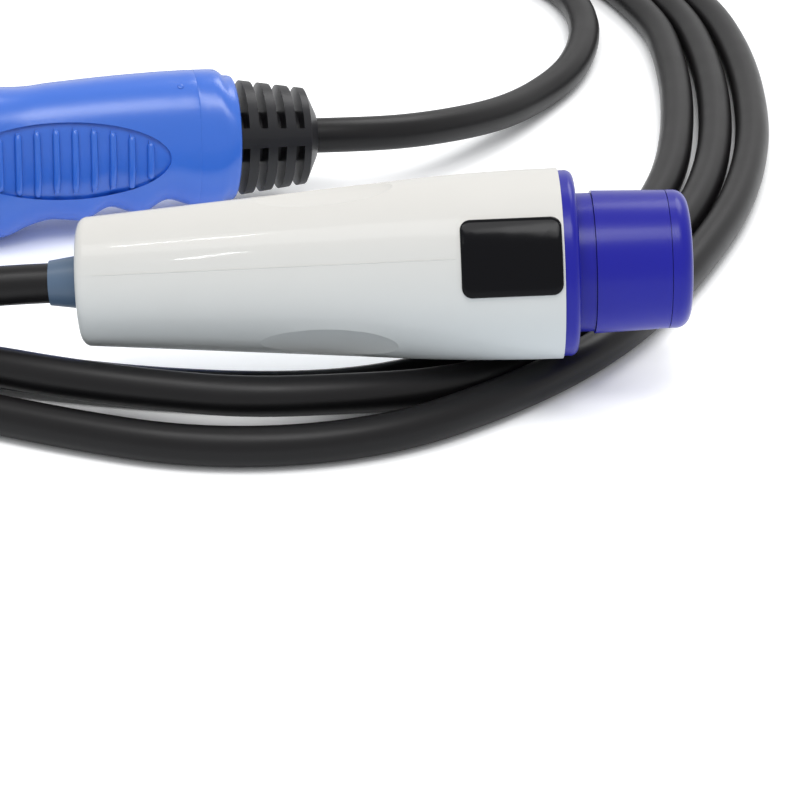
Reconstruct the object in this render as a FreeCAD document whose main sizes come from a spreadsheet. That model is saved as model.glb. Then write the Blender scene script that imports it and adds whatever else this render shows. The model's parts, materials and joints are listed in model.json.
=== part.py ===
import FreeCAD, Part
import math
import os
import re

import Sketcher

# An electric vehicle charging cable: a station plug under its pull-off cap, a coil of heavy cable and
# a hand-held vehicle connector with a thumb latch. It lies on a table, and all lengths are millimetres.
# Plug pieces are drawn along +X from the tip of the cable gland to the nose, with the parting plane of
# the shells at z = 0. Connector pieces are drawn along +X from the cable end of the rubber boot, with the
# thumb side at +Z and the parting plane at y = 0. Each group is then laid in its place on the table.

SIZES = {
    "cable_radius": 8,
    "core_radius": 2.4,
    "pilot_core_radius": 1.0,
    "running_gap": 0.3,
    "fit_gap": 0.1,
    "gland_reach": 12,
    "gland_root": 16,
    "gland_tip_radius": 8.9,
    "gland_rim_radius": 10.6,
    "shell_length": 189,
    "shell_wall": 3.2,
    "shell_rear_radius": 25.2,
    "shell_rear_rounding": 4,
    "shell_mid_reach": 120,
    "shell_mid_radius": 34.6,
    "shell_front_swell": 3,
    "scallop_reach": 88,
    "scallop_half_length": 38,
    "scallop_half_width": 17,
    "scallop_bulge": 7,
    "scallop_depth": 2.1,
    "scallop_tilt": 26,
    "screw_radius": 1.5,
    "screw_head_radius": 2.9,
    "screw_head_height": 2.2,
    "screw_seat": 9,
    "screw_bite": 11,
    "boss_radius": 4.2,
    "boss_height": 16.5,
    "boss_inset": 7.6,
    "rear_screw_reach": 22,
    "mid_screw_reach": 100,
    "front_screw_setback": 31,
    "clamp_reach": 38,
    "clamp_width": 10,
    "clamp_bar_height": 12,
    "clamp_bar_half_length": 17,
    "clamp_screw_spread": 13,
    "clamp_screw_radius": 1.3,
    "clamp_head_radius": 2.4,
    "tail_reach": 52,
    "flange_radius": 36.6,
    "flange_width": 6,
    "flange_rounding": 3,
    "spigot_length": 9,
    "neck_radius": 27.3,
    "neck_length": 7,
    "shroud_radius": 26,
    "shroud_wall": 2.6,
    "shroud_depth": 25,
    "shroud_flat": 3,
    "carrier_radius": 22,
    "carrier_rim_radius": 26,
    "carrier_rim": 3,
    "carrier_seal": 1.5,
    "carrier_front": 10,
    "tower_height": 6,
    "tower_wall": 2.4,
    "blank_radius": 3.5,
    "blank_depth": 5,
    "power_pin_radius": 3,
    "signal_pin_radius": 1.5,
    "power_pin_offset": 15.5,
    "signal_pin_side": 8.5,
    "signal_pin_drop": 14,
    "blank_rise": 14.5,
    "pin_recess": 8,
    "pin_rounding": 1.2,
    "barrel_length": 12,
    "barrel_wall": 0.5,
    "collar_wall": 1.2,
    "collar_length": 2,
    "resistor_radius": 1.6,
    "resistor_length": 6,
    "resistor_lead_radius": 0.4,
    "cap_rear_radius": 28.2,
    "cap_front_radius": 27.3,
    "cap_sleeve_length": 29,
    "cap_end_length": 8.5,
    "cap_end_rounding": 5.5,
    "cap_end_wall": 3,
    "cap_seam": 0.3,
    "cap_spigot": 1.9,
    "cap_seal_width": 4.2,
    "cap_seal_thickness": 1.9,
    "label_length": 38.9,
    "label_height": 30.2,
    "label_corner": 4,
    "label_thickness": 1.1,
    "label_margin": 0.8,
    "plug_x": -138,
    "plug_y": 967.8,
    "plug_lift": 10,
    "plug_yaw": 1.2,
    "plug_pitch": 1.9,
    "plug_roll": -31.5,
    "boot_length": 40,
    "boot_front_radius": 26.6,
    "boot_rear_radius": 21.8,
    "boot_shoulder": 5,
    "boot_tip_radius": 11.5,
    "boot_core_radius": 11.2,
    "boot_slot_width": 4,
    "boot_slot_pitch": 8.5,
    "boot_first_slot": 8.3,
    "boot_slots": 4,
    "boot_spine_angle": 20,
    "boot_root": 7,
    "boot_root_radius": 12,
    "boot_lip_radius": 15,
    "grip_wall": 3,
    "grip_fullness": 2.5,
    "grip_half_width": 25,
    "grip_rise": 30.8,
    "grip_drop": 30,
    "grip_dip": 5.9,
    "grip_flare": 7.8,
    "head_rise": 32,
    "finger_pitch": 26,
    "finger_depth": 4.3,
    "first_finger": 15,
    "fingers": 3,
    "recess_reach": 75.4,
    "recess_half_length": 46.4,
    "recess_half_height": 17,
    "recess_drop": 8,
    "recess_depth": 1.6,
    "rib_pitch": 8.3,
    "rib_width": 2,
    "ribs": 10,
    "rib_margin": 2.4,
    "bend_reach": 128,
    "bend_angle": 15,
    "head_length": 47,
    "head_wall": 3,
    "latch_slot_half_width": 7.5,
    "latch_slot_rear": -8,
    "latch_slot_front": 40,
    "latch_slot_floor": 23.2,
    "shelf_top": 14,
    "latch_half_width": 6.4,
    "latch_module": 1,
    "latch_pivot_reach": 22,
    "latch_pivot_rise": 27,
    "latch_pin_radius": 1.5,
    "latch_pin_half_length": 11.5,
    "latch_pin_gap": 0.06,
    "latch_boss_radius": 4,
    "shelf_thickness": 2,
    "shelf_rear": -6,
    "shelf_front": 16,
    "spring_reach": 9,
    "spring_radius": 2.9,
    "spring_wire_radius": 0.45,
    "spring_turns": 5,
    "switch_half_length": 4,
    "switch_half_width": 3.6,
    "switch_height": 7.5,
    "plunger_radius": 1.2,
    "plunger_length": 6.2,
    "plunger_well": 5.5,
    "nose_radius": 21.9,
    "nose_wall": 2.2,
    "nose_reach": 80,
    "nose_root": 38,
    "nose_flange_radius": 22.6,
    "nose_relief": 0.5,
    "nose_chamfer": 1,
    "key_half_width": 3,
    "key_depth": 1.1,
    "key_length": 28,
    "block_rear": 36,
    "block_recess": 1.5,
    "well_depth": 20,
    "power_well_radius": 3.9,
    "earth_well_radius": 3.4,
    "signal_well_radius": 2.6,
    "power_socket_bore": 1.8,
    "earth_socket_bore": 1.4,
    "signal_socket_bore": 0.75,
    "socket_wall": 1.1,
    "socket_recess": 10.5,
    "socket_bore_depth": 14,
    "socket_tail": 10,
    "power_socket_side": 7.9,
    "power_socket_rise": 6.8,
    "earth_socket_drop": 10.6,
    "signal_socket_side": 10.9,
    "signal_socket_drop": 5.6,
    "front_seal_radius": 24.4,
    "front_seal_width": 3.5,
    "connector_x": -39.5,
    "connector_y": 1149.0,
    "connector_z": 30.666,
    "connector_yaw": 13,
    "connector_pitch": 4.2,
    "connector_roll": 22,
    "frame_x": -86.962,
    "frame_y": 1051.339,
}

doc = FreeCAD.newDocument("charging_cable")
sheet = doc.addObject("Spreadsheet::Sheet", "Sizes")
for row, (word, amount) in enumerate(SIZES.items(), 1):
    sheet.set(f"A{row}", word.replace("_", " "))
    sheet.set(f"B{row}", str(amount))
    sheet.setAlias(f"B{row}", word)
doc.recompute()

Vector = FreeCAD.Vector
Placement = FreeCAD.Placement
Rotation = FreeCAD.Rotation
X_AXIS = Vector(1, 0, 0)
Y_AXIS = Vector(0, 1, 0)
Z_AXIS = Vector(0, 0, 1)
MIDDLE = Vector(0, 0, 0)
NODES = []


def cells(text):
    """The expression that reads each named size in text from the sheet."""
    return re.sub(r"[a-z_]+", lambda m: f"Sizes.{m[0]}" if m[0] in SIZES else m[0], str(text))


def number(text):
    """What a named size, or a sum of them, comes to now."""
    return float(sheet.evalExpression(cells(text)))


def at(x, y, z):
    return Placement(Vector(number(x), number(y), number(z)), Rotation())


# Helpers for bodies, sketches and features


def new_body(label, place):
    body = doc.addObject("PartDesign::Body", label)
    body.Label = label
    body.Placement = place
    NODES.append(body)
    return body


def new_sketch(body, plane, reach="0"):
    """A sketch on one of the body's own planes, moved along the plane's normal by reach."""
    sketch = body.newObject("Sketcher::SketchObject", "Sketch")
    face = next(f for f in body.Origin.OriginFeatures if f.Role == plane)
    sketch.AttachmentSupport = (face, [""])
    sketch.MapMode = "FlatFace"
    if reach != "0":
        sketch.AttachmentOffset = Placement(Vector(0, 0, number(reach)), Rotation())
        sketch.setExpression(".AttachmentOffset.Base.z", cells(reach))
    return sketch


def bind(sketch, kind, geometry, point, text):
    """Ties one coordinate of a point to an expression."""
    if text == "0":
        axis = -2 if kind == "DistanceX" else -1
        sketch.addConstraint(Sketcher.Constraint("PointOnObject", geometry, point, axis))
        return
    index = sketch.addConstraint(Sketcher.Constraint(kind, -1, 1, geometry, point, number(text)))
    sketch.setExpression(f"Constraints[{index}]", cells(text))


def bind_radius(sketch, geometry, text):
    index = sketch.addConstraint(Sketcher.Constraint("Radius", geometry, number(text)))
    sketch.setExpression(f"Constraints[{index}]", cells(text))


def outline(sketch, corners):
    """A closed outline. A corner is (x, y), or (x, y, radius) where the edge that leaves it is an arc:
    a radius that starts with a minus has its centre on the right of the way along. A half circle has
    its centre on the X axis."""
    first = len(sketch.Geometry)
    spots = [Vector(number(c[0]), number(c[1]), 0) for c in corners]
    starts, ends = [], []
    for i, corner in enumerate(corners):
        here, there = spots[i], spots[(i + 1) % len(spots)]
        if len(corner) == 2:
            geometry = sketch.addGeometry(Part.LineSegment(here, there), False)
            starts.append((geometry, 1))
            ends.append((geometry, 2))
            continue
        right = corner[2].startswith("-")
        radius_text = corner[2].lstrip("-")
        radius = number(radius_text)
        chord = there - here
        left = Vector(-chord.y, chord.x, 0).normalize()
        away = math.sqrt(max(radius**2 - (chord.Length / 2) ** 2, 0))
        centre = (here + there) * 0.5 + left * (-away if right else away)
        a, b = (there, here) if right else (here, there)
        angles = [math.atan2(p.y - centre.y, p.x - centre.x) for p in (a, b)]
        ring = Part.Circle(centre, Z_AXIS, radius)
        geometry = sketch.addGeometry(Part.ArcOfCircle(ring, *angles), False)
        starts.append((geometry, 2 if right else 1))
        ends.append((geometry, 1 if right else 2))
        if away < 1e-6:
            sketch.addConstraint(Sketcher.Constraint("PointOnObject", geometry, 3, -1))
        else:
            bind_radius(sketch, geometry, radius_text)
    for i, corner in enumerate(corners):
        sketch.addConstraint(Sketcher.Constraint("Coincident", *ends[i - 1], *starts[i]))
        bind(sketch, "DistanceX", *starts[i], corner[0])
        bind(sketch, "DistanceY", *starts[i], corner[1])
    return first


def circle(sketch, x, y, radius):
    geometry = sketch.addGeometry(
        Part.Circle(Vector(number(x), number(y), 0), Z_AXIS, number(radius)), False
    )
    bind(sketch, "DistanceX", geometry, 3, x)
    bind(sketch, "DistanceY", geometry, 3, y)
    bind_radius(sketch, geometry, radius)


def rectangle(sketch, low_x, low_y, high_x, high_y):
    outline(sketch, [(low_x, low_y), (high_x, low_y), (high_x, high_y), (low_x, high_y)])


def dee(sketch, radius, flat):
    """A circle about the axis with a flat chord at y = -flat."""
    r, d = number(radius), number(flat)
    turn = math.asin(d / r)
    ring = Part.Circle(MIDDLE, Z_AXIS, r)
    arc = sketch.addGeometry(Part.ArcOfCircle(ring, -turn, math.pi + turn), False)
    half = math.sqrt(r**2 - d**2)
    chord = sketch.addGeometry(Part.LineSegment(Vector(-half, -d, 0), Vector(half, -d, 0)), False)
    sketch.addConstraint(Sketcher.Constraint("Coincident", arc, 3, -1, 1))
    sketch.addConstraint(Sketcher.Constraint("Coincident", arc, 2, chord, 1))
    sketch.addConstraint(Sketcher.Constraint("Coincident", chord, 2, arc, 1))
    sketch.addConstraint(Sketcher.Constraint("Horizontal", chord))
    bind_radius(sketch, arc, radius)
    bind(sketch, "DistanceY", chord, 1, f"-({flat})")


def feature(body, kind, sketch, **settings):
    made = body.newObject(f"PartDesign::{kind}", kind)
    made.Profile = sketch
    for name, setting in settings.items():
        setattr(made, name, setting)
    sketch.Visibility = False
    return made


def turn(body, sketch, kind="Revolution", angle=360, **settings):
    return feature(body, kind, sketch, ReferenceAxis=(sketch, ["H_Axis"]), Angle=angle, **settings)


def extrude(body, sketch, length, kind="Pad", **settings):
    made = feature(body, kind, sketch, Length=number(length), **settings)
    made.setExpression("Length", cells(length))
    return made


def lathe(label, place, corners):
    """A turned piece: a closed outline above the X axis, turned once round it."""
    body = new_body(label, place)
    sketch = new_sketch(body, "XY_Plane")
    outline(sketch, corners)
    turn(body, sketch)
    return body


def solid_node(label, shape, place):
    """A piece whose form no sketch feature fits, made by Part's own functions."""
    node = doc.addObject("Part::Feature", label)
    node.Label = label
    node.Shape = shape
    node.Placement = place
    NODES.append(node)
    return node


def screw_set(label, place, spots, head, shank, bite):
    """Pan-head screws along +Z, one at each spot, as separate solids of one node. A spot is where the
    underside of the head's rim sits."""
    made = []
    for x, y, z in spots:
        top = doc.addObject("Part::Cylinder", "Head")
        top.setExpression("Radius", cells(head))
        top.setExpression("Height", cells("screw_head_height"))
        stem = doc.addObject("Part::Cylinder", "Shank")
        stem.setExpression("Radius", cells(shank))
        stem.setExpression("Height", cells(bite))
        for piece, back in ((top, "screw_head_height"), (stem, "0")):
            piece.setExpression(".Placement.Base.x", cells(x))
            piece.setExpression(".Placement.Base.y", cells(y))
            piece.setExpression(".Placement.Base.z", cells(f"{z} - {back}"))
        joined = doc.addObject("Part::Fuse", "Screw")
        joined.Base = top
        joined.Tool = stem
        made.append(joined)
    node = doc.addObject("Part::Compound", label)
    node.Label = label
    node.Links = made
    node.Placement = place
    NODES.append(node)
    return node


def bent_line(points, closed=False):
    """Straight runs joined by tangent arcs, each as large as its two runs allow, and the arcs' radii."""
    corners = points if closed else points[1:-1]
    edges, radii, before = [], [], None if closed else points[0]
    first = None
    for i, corner in enumerate(corners):
        k = i if closed else i + 1
        back = points[k - 1] - corner
        ahead = points[(k + 1) % len(points)] - corner
        bend = math.pi - back.getAngle(ahead)
        cut = 0.45 * min(back.Length, ahead.Length)
        radius = cut / math.tan(bend / 2)
        radii.append(radius)
        start = corner + back.normalize() * cut
        end = corner + ahead.normalize() * cut
        to_centre = (back + ahead).normalize() * (math.hypot(radius, cut) - radius)
        if before is not None:
            edges.append(Part.LineSegment(before, start).toShape())
        else:
            first = start
        edges.append(Part.Arc(start, corner + to_centre, end).toShape())
        before = end
    edges.append(Part.LineSegment(before, first if closed else points[-1]).toShape())
    return Part.Wire(edges), radii


def tube(points, radius):
    """A round solid along a bent line, with its volume compared with section times length."""
    path, radii = bent_line(points)
    ring = Part.Wire(Part.Circle(points[0], points[1] - points[0], radius).toShape())
    shape = path.makePipeShell([ring], True, False)
    exact = math.pi * radius**2 * path.Length
    if abs(shape.Volume / exact - 1) > 0.01:
        raise ValueError(f"a tube's volume is {shape.Volume:.0f} and should be {exact:.0f}")
    return shape, path.Length, radii


# Where the three groups lie on the table

FRONT_RADIUS = "(shell_mid_radius + shell_front_swell)"
TABLE = at("-frame_x", "-frame_y", 0)
PLUG = TABLE * Placement(
    Vector(number("plug_x"), number("plug_y"), number(f"{FRONT_RADIUS} + plug_lift")),
    Rotation(Z_AXIS, number("plug_yaw"))
    * Rotation(Y_AXIS, -number("plug_pitch"))
    * Rotation(X_AXIS, number("plug_roll")),
)
CONNECTOR = TABLE * Placement(
    Vector(number("connector_x"), number("connector_y"), number("connector_z")),
    Rotation(Z_AXIS, 180 + number("connector_yaw"))
    * Rotation(Y_AXIS, -number("connector_pitch"))
    * Rotation(X_AXIS, number("connector_roll")),
)
BEND = Placement(
    Vector(number("boot_length + bend_reach"), 0, 0), Rotation(Y_AXIS, number("bend_angle"))
)
NOSE = CONNECTOR * BEND

# Stations along the plug

REAR = "gland_reach"
FRONT = "(gland_reach + shell_length)"
MID = "(gland_reach + shell_mid_reach)"
FLANGE_FRONT = f"({FRONT} + flange_width)"
SPIGOT_REAR = f"({FRONT} - spigot_length)"
CAP_REAR = f"({FLANGE_FRONT} + neck_length)"
SHROUD_END = f"({CAP_REAR} + shroud_depth)"
CARRIER_REAR = f"({SPIGOT_REAR} - carrier_seal - carrier_rim)"
CARRIER_FRONT = f"({FRONT} + carrier_front)"
CAP_SEAM = f"({CAP_REAR} + cap_sleeve_length)"
TAIL_END = "(gland_reach + tail_reach)"
NOSE_RUN = "(shell_length - shell_mid_reach)"
BELLY = f"(({NOSE_RUN}^2 + shell_front_swell^2) / (2 * shell_front_swell))"
TAPER = "((shell_mid_radius - shell_rear_radius) / shell_mid_reach)"


def shell_radius(reach):
    """The plug shell's outside at a reach from its rear face, on its straight taper."""
    return f"(shell_rear_radius + {TAPER} * {reach})"


def screw_spots():
    """The three shell screws, on the side that faces the table."""
    spots = []
    for reach in ("rear_screw_reach", "mid_screw_reach"):
        spots.append((f"{REAR} + {reach}", f"{shell_radius(reach)} - boss_inset"))
    spots.append((f"{FRONT} - front_screw_setback", f"{FRONT_RADIUS} - boss_inset - 0.5"))
    return spots


def plug_shell(label, lower):
    """One half of the plug's two-part housing, turned through half a circle."""
    body = new_body(label, PLUG)
    wall = new_sketch(body, "XY_Plane")
    inner = f"{BELLY} - shell_wall"
    outline(
        wall,
        [
            (REAR, "gland_rim_radius - fit_gap"),
            (REAR, "shell_rear_radius - shell_rear_rounding", "-shell_rear_rounding"),
            (f"{REAR} + shell_rear_rounding", shell_radius("shell_rear_rounding")),
            (MID, "shell_mid_radius", f"-{BELLY}"),
            (FRONT, FRONT_RADIUS),
            (FRONT, f"{FRONT_RADIUS} - shell_wall", f"{inner}"),
            (MID, "shell_mid_radius - shell_wall"),
            (f"{REAR} + shell_wall", f"{shell_radius('shell_wall')} - shell_wall"),
            (f"{REAR} + shell_wall", "gland_rim_radius - fit_gap"),
        ],
    )
    turn(body, wall, angle=180, Reversed=lower)
    posts = new_sketch(body, "XY_Plane")
    for x, y in screw_spots():
        circle(posts, x, y, "boss_radius")
    extrude(body, posts, "boss_height", Reversed=lower)
    holes = new_sketch(body, "XY_Plane")
    for x, y in screw_spots():
        circle(holes, x, y, "screw_radius + fit_gap")
    extrude(body, holes, "screw_bite", kind="Pocket", Reversed=not lower)
    if lower:
        wells = new_sketch(body, "XY_Plane", "-screw_seat")
        for x, y in screw_spots():
            circle(wells, x, y, "screw_head_radius + running_gap")
        extrude(body, wells, FRONT_RADIUS, kind="Pocket")
    doc.recompute()
    side = -1 if lower else 1
    depth = f"({shell_radius('scallop_reach')} + scallop_bulge - scallop_depth)"
    for across in (-1, 1):
        scallop = body.newObject("PartDesign::SubtractiveEllipsoid", "Scallop")
        scallop.Placement.Rotation = Rotation(X_AXIS, -side * across * number("scallop_tilt"))
        scallop.setExpression("Radius1", cells("scallop_bulge"))
        scallop.setExpression("Radius2", cells("scallop_half_length"))
        scallop.setExpression("Radius3", cells("scallop_half_width"))
        scallop.setExpression(".Placement.Base.x", cells(f"{REAR} + scallop_reach"))
        tilt = "(scallop_tilt * 1deg)"
        scallop.setExpression(".Placement.Base.y", cells(f"{across} * {depth} * sin{tilt}"))
        scallop.setExpression(".Placement.Base.z", cells(f"{side} * {depth} * cos{tilt}"))
        doc.recompute()
    return body


def plug_shroud():
    """The dark front piece: a spigot in the shells, the round flange, the neck and the D-shaped shroud."""
    body = new_body("plug_front_shroud", PLUG)
    round_form = new_sketch(body, "XY_Plane")
    spigot = f"{FRONT_RADIUS} - shell_wall - running_gap"
    outline(
        round_form,
        [
            (SPIGOT_REAR, "0"),
            (SPIGOT_REAR, spigot),
            (FRONT, spigot),
            (FRONT, "flange_radius"),
            (f"{FLANGE_FRONT} - flange_rounding", "flange_radius", "-flange_rounding"),
            (FLANGE_FRONT, "flange_radius - flange_rounding"),
            (FLANGE_FRONT, "neck_radius"),
            (f"{CAP_REAR} - running_gap", "neck_radius"),
            (f"{CAP_REAR} - running_gap", "shroud_radius"),
            (SHROUD_END, "shroud_radius"),
            (SHROUD_END, "0"),
        ],
    )
    turn(body, round_form)
    cavity = new_sketch(body, "YZ_Plane", SHROUD_END)
    dee(cavity, "shroud_radius - shroud_wall", "shroud_radius - shroud_flat - shroud_wall")
    extrude(body, cavity, f"{SHROUD_END} - {FRONT} - carrier_front + 2", kind="Pocket")
    seat = new_sketch(body, "YZ_Plane", SHROUD_END)
    circle(seat, "0", "0", "carrier_radius + fit_gap")
    extrude(body, seat, f"{SHROUD_END} - {SPIGOT_REAR}", kind="Pocket")
    flat = new_sketch(body, "YZ_Plane", SHROUD_END)
    rectangle(
        flat, "-neck_radius", "-neck_radius - 1", "neck_radius", "-(shroud_radius - shroud_flat)"
    )
    extrude(body, flat, "shroud_depth", kind="Pocket")
    return body


PLUG_PINS = {
    "line": ("power_pin_offset", "0", "power_pin_radius", "core_radius"),
    "neutral": ("-power_pin_offset", "0", "power_pin_radius", "core_radius"),
    "earth": ("0", "0", "power_pin_radius", "core_radius"),
    "pilot": ("signal_pin_side", "-signal_pin_drop", "signal_pin_radius", "pilot_core_radius"),
    "proximity": ("-signal_pin_side", "-signal_pin_drop", "signal_pin_radius", "pilot_core_radius"),
}


def contact_carrier():
    """The insulating block that holds the five pins, with two blanked places for the missing phases."""
    body = new_body("plug_contact_carrier", PLUG)
    rim = new_sketch(body, "YZ_Plane", CARRIER_REAR)
    circle(rim, "0", "0", "carrier_rim_radius")
    extrude(body, rim, "carrier_rim")
    core = new_sketch(body, "YZ_Plane", CARRIER_REAR)
    circle(core, "0", "0", "carrier_radius")
    extrude(body, core, f"{CARRIER_FRONT} - {CARRIER_REAR}")
    towers = new_sketch(body, "YZ_Plane", CARRIER_FRONT)
    for y, z, radius, _ in PLUG_PINS.values():
        circle(towers, y, z, f"{radius} + tower_wall")
    extrude(body, towers, "tower_height")
    blanks = new_sketch(body, "YZ_Plane", CARRIER_FRONT)
    for y in ("signal_pin_side", "-signal_pin_side"):
        circle(blanks, y, "blank_rise", "blank_radius")
    extrude(body, blanks, "blank_depth", kind="Pocket")
    holes = new_sketch(body, "YZ_Plane", f"{CARRIER_FRONT} + tower_height")
    for y, z, radius, _ in PLUG_PINS.values():
        circle(holes, y, z, f"{radius} + fit_gap / 2")
    extrude(body, holes, f"{CARRIER_FRONT} + tower_height - {CARRIER_REAR}", kind="Pocket")
    return body


def plug_pin(name, y, z, radius, core):
    """A turned contact pin with a rounded tip, a collar behind the carrier and a crimp barrel."""
    tip = f"({SHROUD_END} - pin_recess)"
    barrel = f"({core} + barrel_wall)"
    collar = f"({CARRIER_REAR} - collar_length)"
    lathe(
        f"plug_pin_{name}",
        PLUG * at("0", y, z),
        [
            (f"{CARRIER_REAR} - barrel_length", "0"),
            (f"{CARRIER_REAR} - barrel_length", barrel),
            (collar, barrel),
            (collar, f"{radius} + collar_wall"),
            (CARRIER_REAR, f"{radius} + collar_wall"),
            (CARRIER_REAR, radius),
            (f"{tip} - pin_rounding", radius, "-pin_rounding"),
            (tip, f"{radius} - pin_rounding"),
            (tip, "0"),
        ],
    )


def clamp(prefix, place, reach, radius):
    """The cord grip inside a housing: a saddle that fills the shell, a bar over the cable, two screws."""
    saddle = new_body(f"{prefix}_clamp_saddle", place)
    form = new_sketch(saddle, "YZ_Plane", reach)
    ring = "(cable_radius + fit_gap / 2)"
    outline(
        form,
        [
            (f"-({radius})", "0", radius),
            (radius, "0"),
            (ring, "0", f"-{ring}"),
            (f"-{ring}", "0"),
        ],
    )
    extrude(saddle, form, "clamp_width")
    threads = new_sketch(saddle, "XY_Plane")
    bar = new_body(f"{prefix}_clamp_bar", place)
    section = new_sketch(bar, "YZ_Plane", reach)
    half = "clamp_bar_half_length"
    outline(
        section,
        [
            (ring, "running_gap"),
            (half, "running_gap"),
            (half, "clamp_bar_height"),
            (f"-{half}", "clamp_bar_height"),
            (f"-{half}", "running_gap"),
            (f"-{ring}", "running_gap", f"-{ring}"),
        ],
    )
    extrude(bar, section, "clamp_width")
    passes = new_sketch(bar, "XY_Plane", "clamp_bar_height")
    middle = f"{reach} + clamp_width / 2"
    for y in ("clamp_screw_spread", "-clamp_screw_spread"):
        circle(threads, middle, y, "clamp_screw_radius + fit_gap / 2")
        circle(passes, middle, y, "clamp_screw_radius + fit_gap / 2")
    extrude(saddle, threads, "clamp_bar_height - 2", kind="Pocket")
    extrude(bar, passes, "clamp_bar_height", kind="Pocket")
    flipped = place * Placement(MIDDLE, Rotation(X_AXIS, 180))
    spots = [(middle, y, "-clamp_bar_height") for y in ("clamp_screw_spread", "-clamp_screw_spread")]
    screw_set(
        f"{prefix}_clamp_screws", flipped, spots, "clamp_head_radius", "clamp_screw_radius",
        "clamp_bar_height + clamp_bar_height - 3",
    )


def plug_label():
    """A thick domed label, laid round the housing over the parting line. It carries no print."""
    body = new_body("plug_label", PLUG)
    band = new_sketch(body, "XY_Plane")
    front = f"({FRONT} - label_margin)"
    rear = f"({front} - label_length)"
    edges = []
    for x in (rear, front):
        edges.append(f"{FRONT_RADIUS} - {BELLY} + sqrt({BELLY}^2 - ({FRONT} - {x})^2)")
    outline(
        band,
        [
            (rear, f"-({edges[0]}) - label_thickness", f"({BELLY} + label_thickness)"),
            (front, f"-({edges[1]}) - label_thickness"),
            (front, f"-({edges[1]})", f"-{BELLY}"),
            (rear, f"-({edges[0]})"),
        ],
    )
    turn(body, band, angle=90, Midplane=True)
    window = new_sketch(body, "XZ_Plane", f"{FRONT_RADIUS} + label_thickness + 1")
    half = "label_height / 2"
    around = f"{half} + {FRONT_RADIUS}"
    rectangle(window, f"{rear} - 5", f"-({around})", f"{front} + 5", around)
    outline(
        window,
        [
            (f"{rear} + label_corner", f"-({half})"),
            (f"{front} - label_corner", f"-({half})", "label_corner"),
            (front, f"-({half}) + label_corner"),
            (front, f"{half} - label_corner", "label_corner"),
            (f"{front} - label_corner", half),
            (f"{rear} + label_corner", half, "label_corner"),
            (rear, f"{half} - label_corner"),
            (rear, f"-({half}) + label_corner", "label_corner"),
        ],
    )
    extrude(body, window, f"{FRONT_RADIUS} + label_thickness + 1", kind="Pocket")
    return body


def build_plug():
    plug_shell("plug_shell_upper", False)
    plug_shell("plug_shell_lower", True)
    seats = [(x, y, "-screw_seat") for x, y in screw_spots()]
    screw_set(
        "plug_shell_screws", PLUG, seats, "screw_head_radius", "screw_radius", "screw_seat + screw_bite - 1"
    )
    plug_shroud()
    contact_carrier()
    lathe(
        "plug_carrier_seal",
        PLUG,
        [
            (f"{SPIGOT_REAR} - carrier_seal", "carrier_radius + fit_gap"),
            (SPIGOT_REAR, "carrier_radius + fit_gap"),
            (SPIGOT_REAR, "carrier_rim_radius"),
            (f"{SPIGOT_REAR} - carrier_seal", "carrier_rim_radius"),
        ],
    )
    for name, (y, z, radius, core) in PLUG_PINS.items():
        plug_pin(name, y, z, radius, core)
    bore = "cable_radius + fit_gap"
    lathe(
        "plug_gland",
        PLUG,
        [
            ("0", bore),
            ("0", "gland_tip_radius"),
            (REAR, "gland_rim_radius"),
            (REAR, "gland_rim_radius - 2 * fit_gap"),
            (f"{REAR} + shell_wall + fit_gap", "gland_rim_radius - 2 * fit_gap"),
            (f"{REAR} + shell_wall + fit_gap", "gland_rim_radius + 3"),
            (f"{REAR} + gland_root", "gland_rim_radius + 3"),
            (f"{REAR} + gland_root", bore),
        ],
    )
    clamp("plug", PLUG, f"({REAR} + clamp_reach)", f"({shell_radius('clamp_reach')} - shell_wall - fit_gap)")
    lathe(
        "plug_cable_tail",
        PLUG,
        [("2", "0"), ("2", "cable_radius"), (TAIL_END, "cable_radius"), (TAIL_END, "0")],
    )
    plug_label()
    start, end = number(TAIL_END), number(f"{CARRIER_REAR} - barrel_length")
    offsets = {"line": (3.4, -1.4), "neutral": (-3.4, -1.4), "earth": (0, 3.4), "pilot": (0, -5.4)}
    for name, (y, z) in offsets.items():
        far_y, far_z, _, core = PLUG_PINS[name]
        far = (number(far_y), number(far_z))
        run = end - start
        points = [
            Vector(start, y, z),
            Vector(start + run / 4, y, z),
            Vector(end - run / 4, *far),
            Vector(end, *far),
        ]
        solid_node(f"plug_wire_{name}", tube(points, number(core))[0], PLUG)
    coding_resistor()


def coding_resistor():
    """The resistor between the proximity and earth contacts that tells the station the cable's rating."""
    y, z = -number("signal_pin_side"), -number("signal_pin_drop")
    apart = math.hypot(y, z)
    earth_barrel = number("core_radius + barrel_wall")
    signal_barrel = number("pilot_core_radius + barrel_wall")
    gap = apart - earth_barrel - signal_barrel
    towards = Vector(0, y, z) * (1 / apart)
    foot = Vector(number(f"{CARRIER_REAR} - barrel_length / 2"), 0, 0) + towards * earth_barrel
    body_length = number("resistor_length")
    lead = Part.makeCylinder(number("resistor_lead_radius"), gap, foot, towards)
    bead_foot = foot + towards * ((gap - body_length) / 2)
    bead = Part.makeCylinder(number("resistor_radius"), body_length, bead_foot, towards)
    solid_node("plug_coding_resistor", lead.fuse(bead).removeSplitter(), PLUG)


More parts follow.
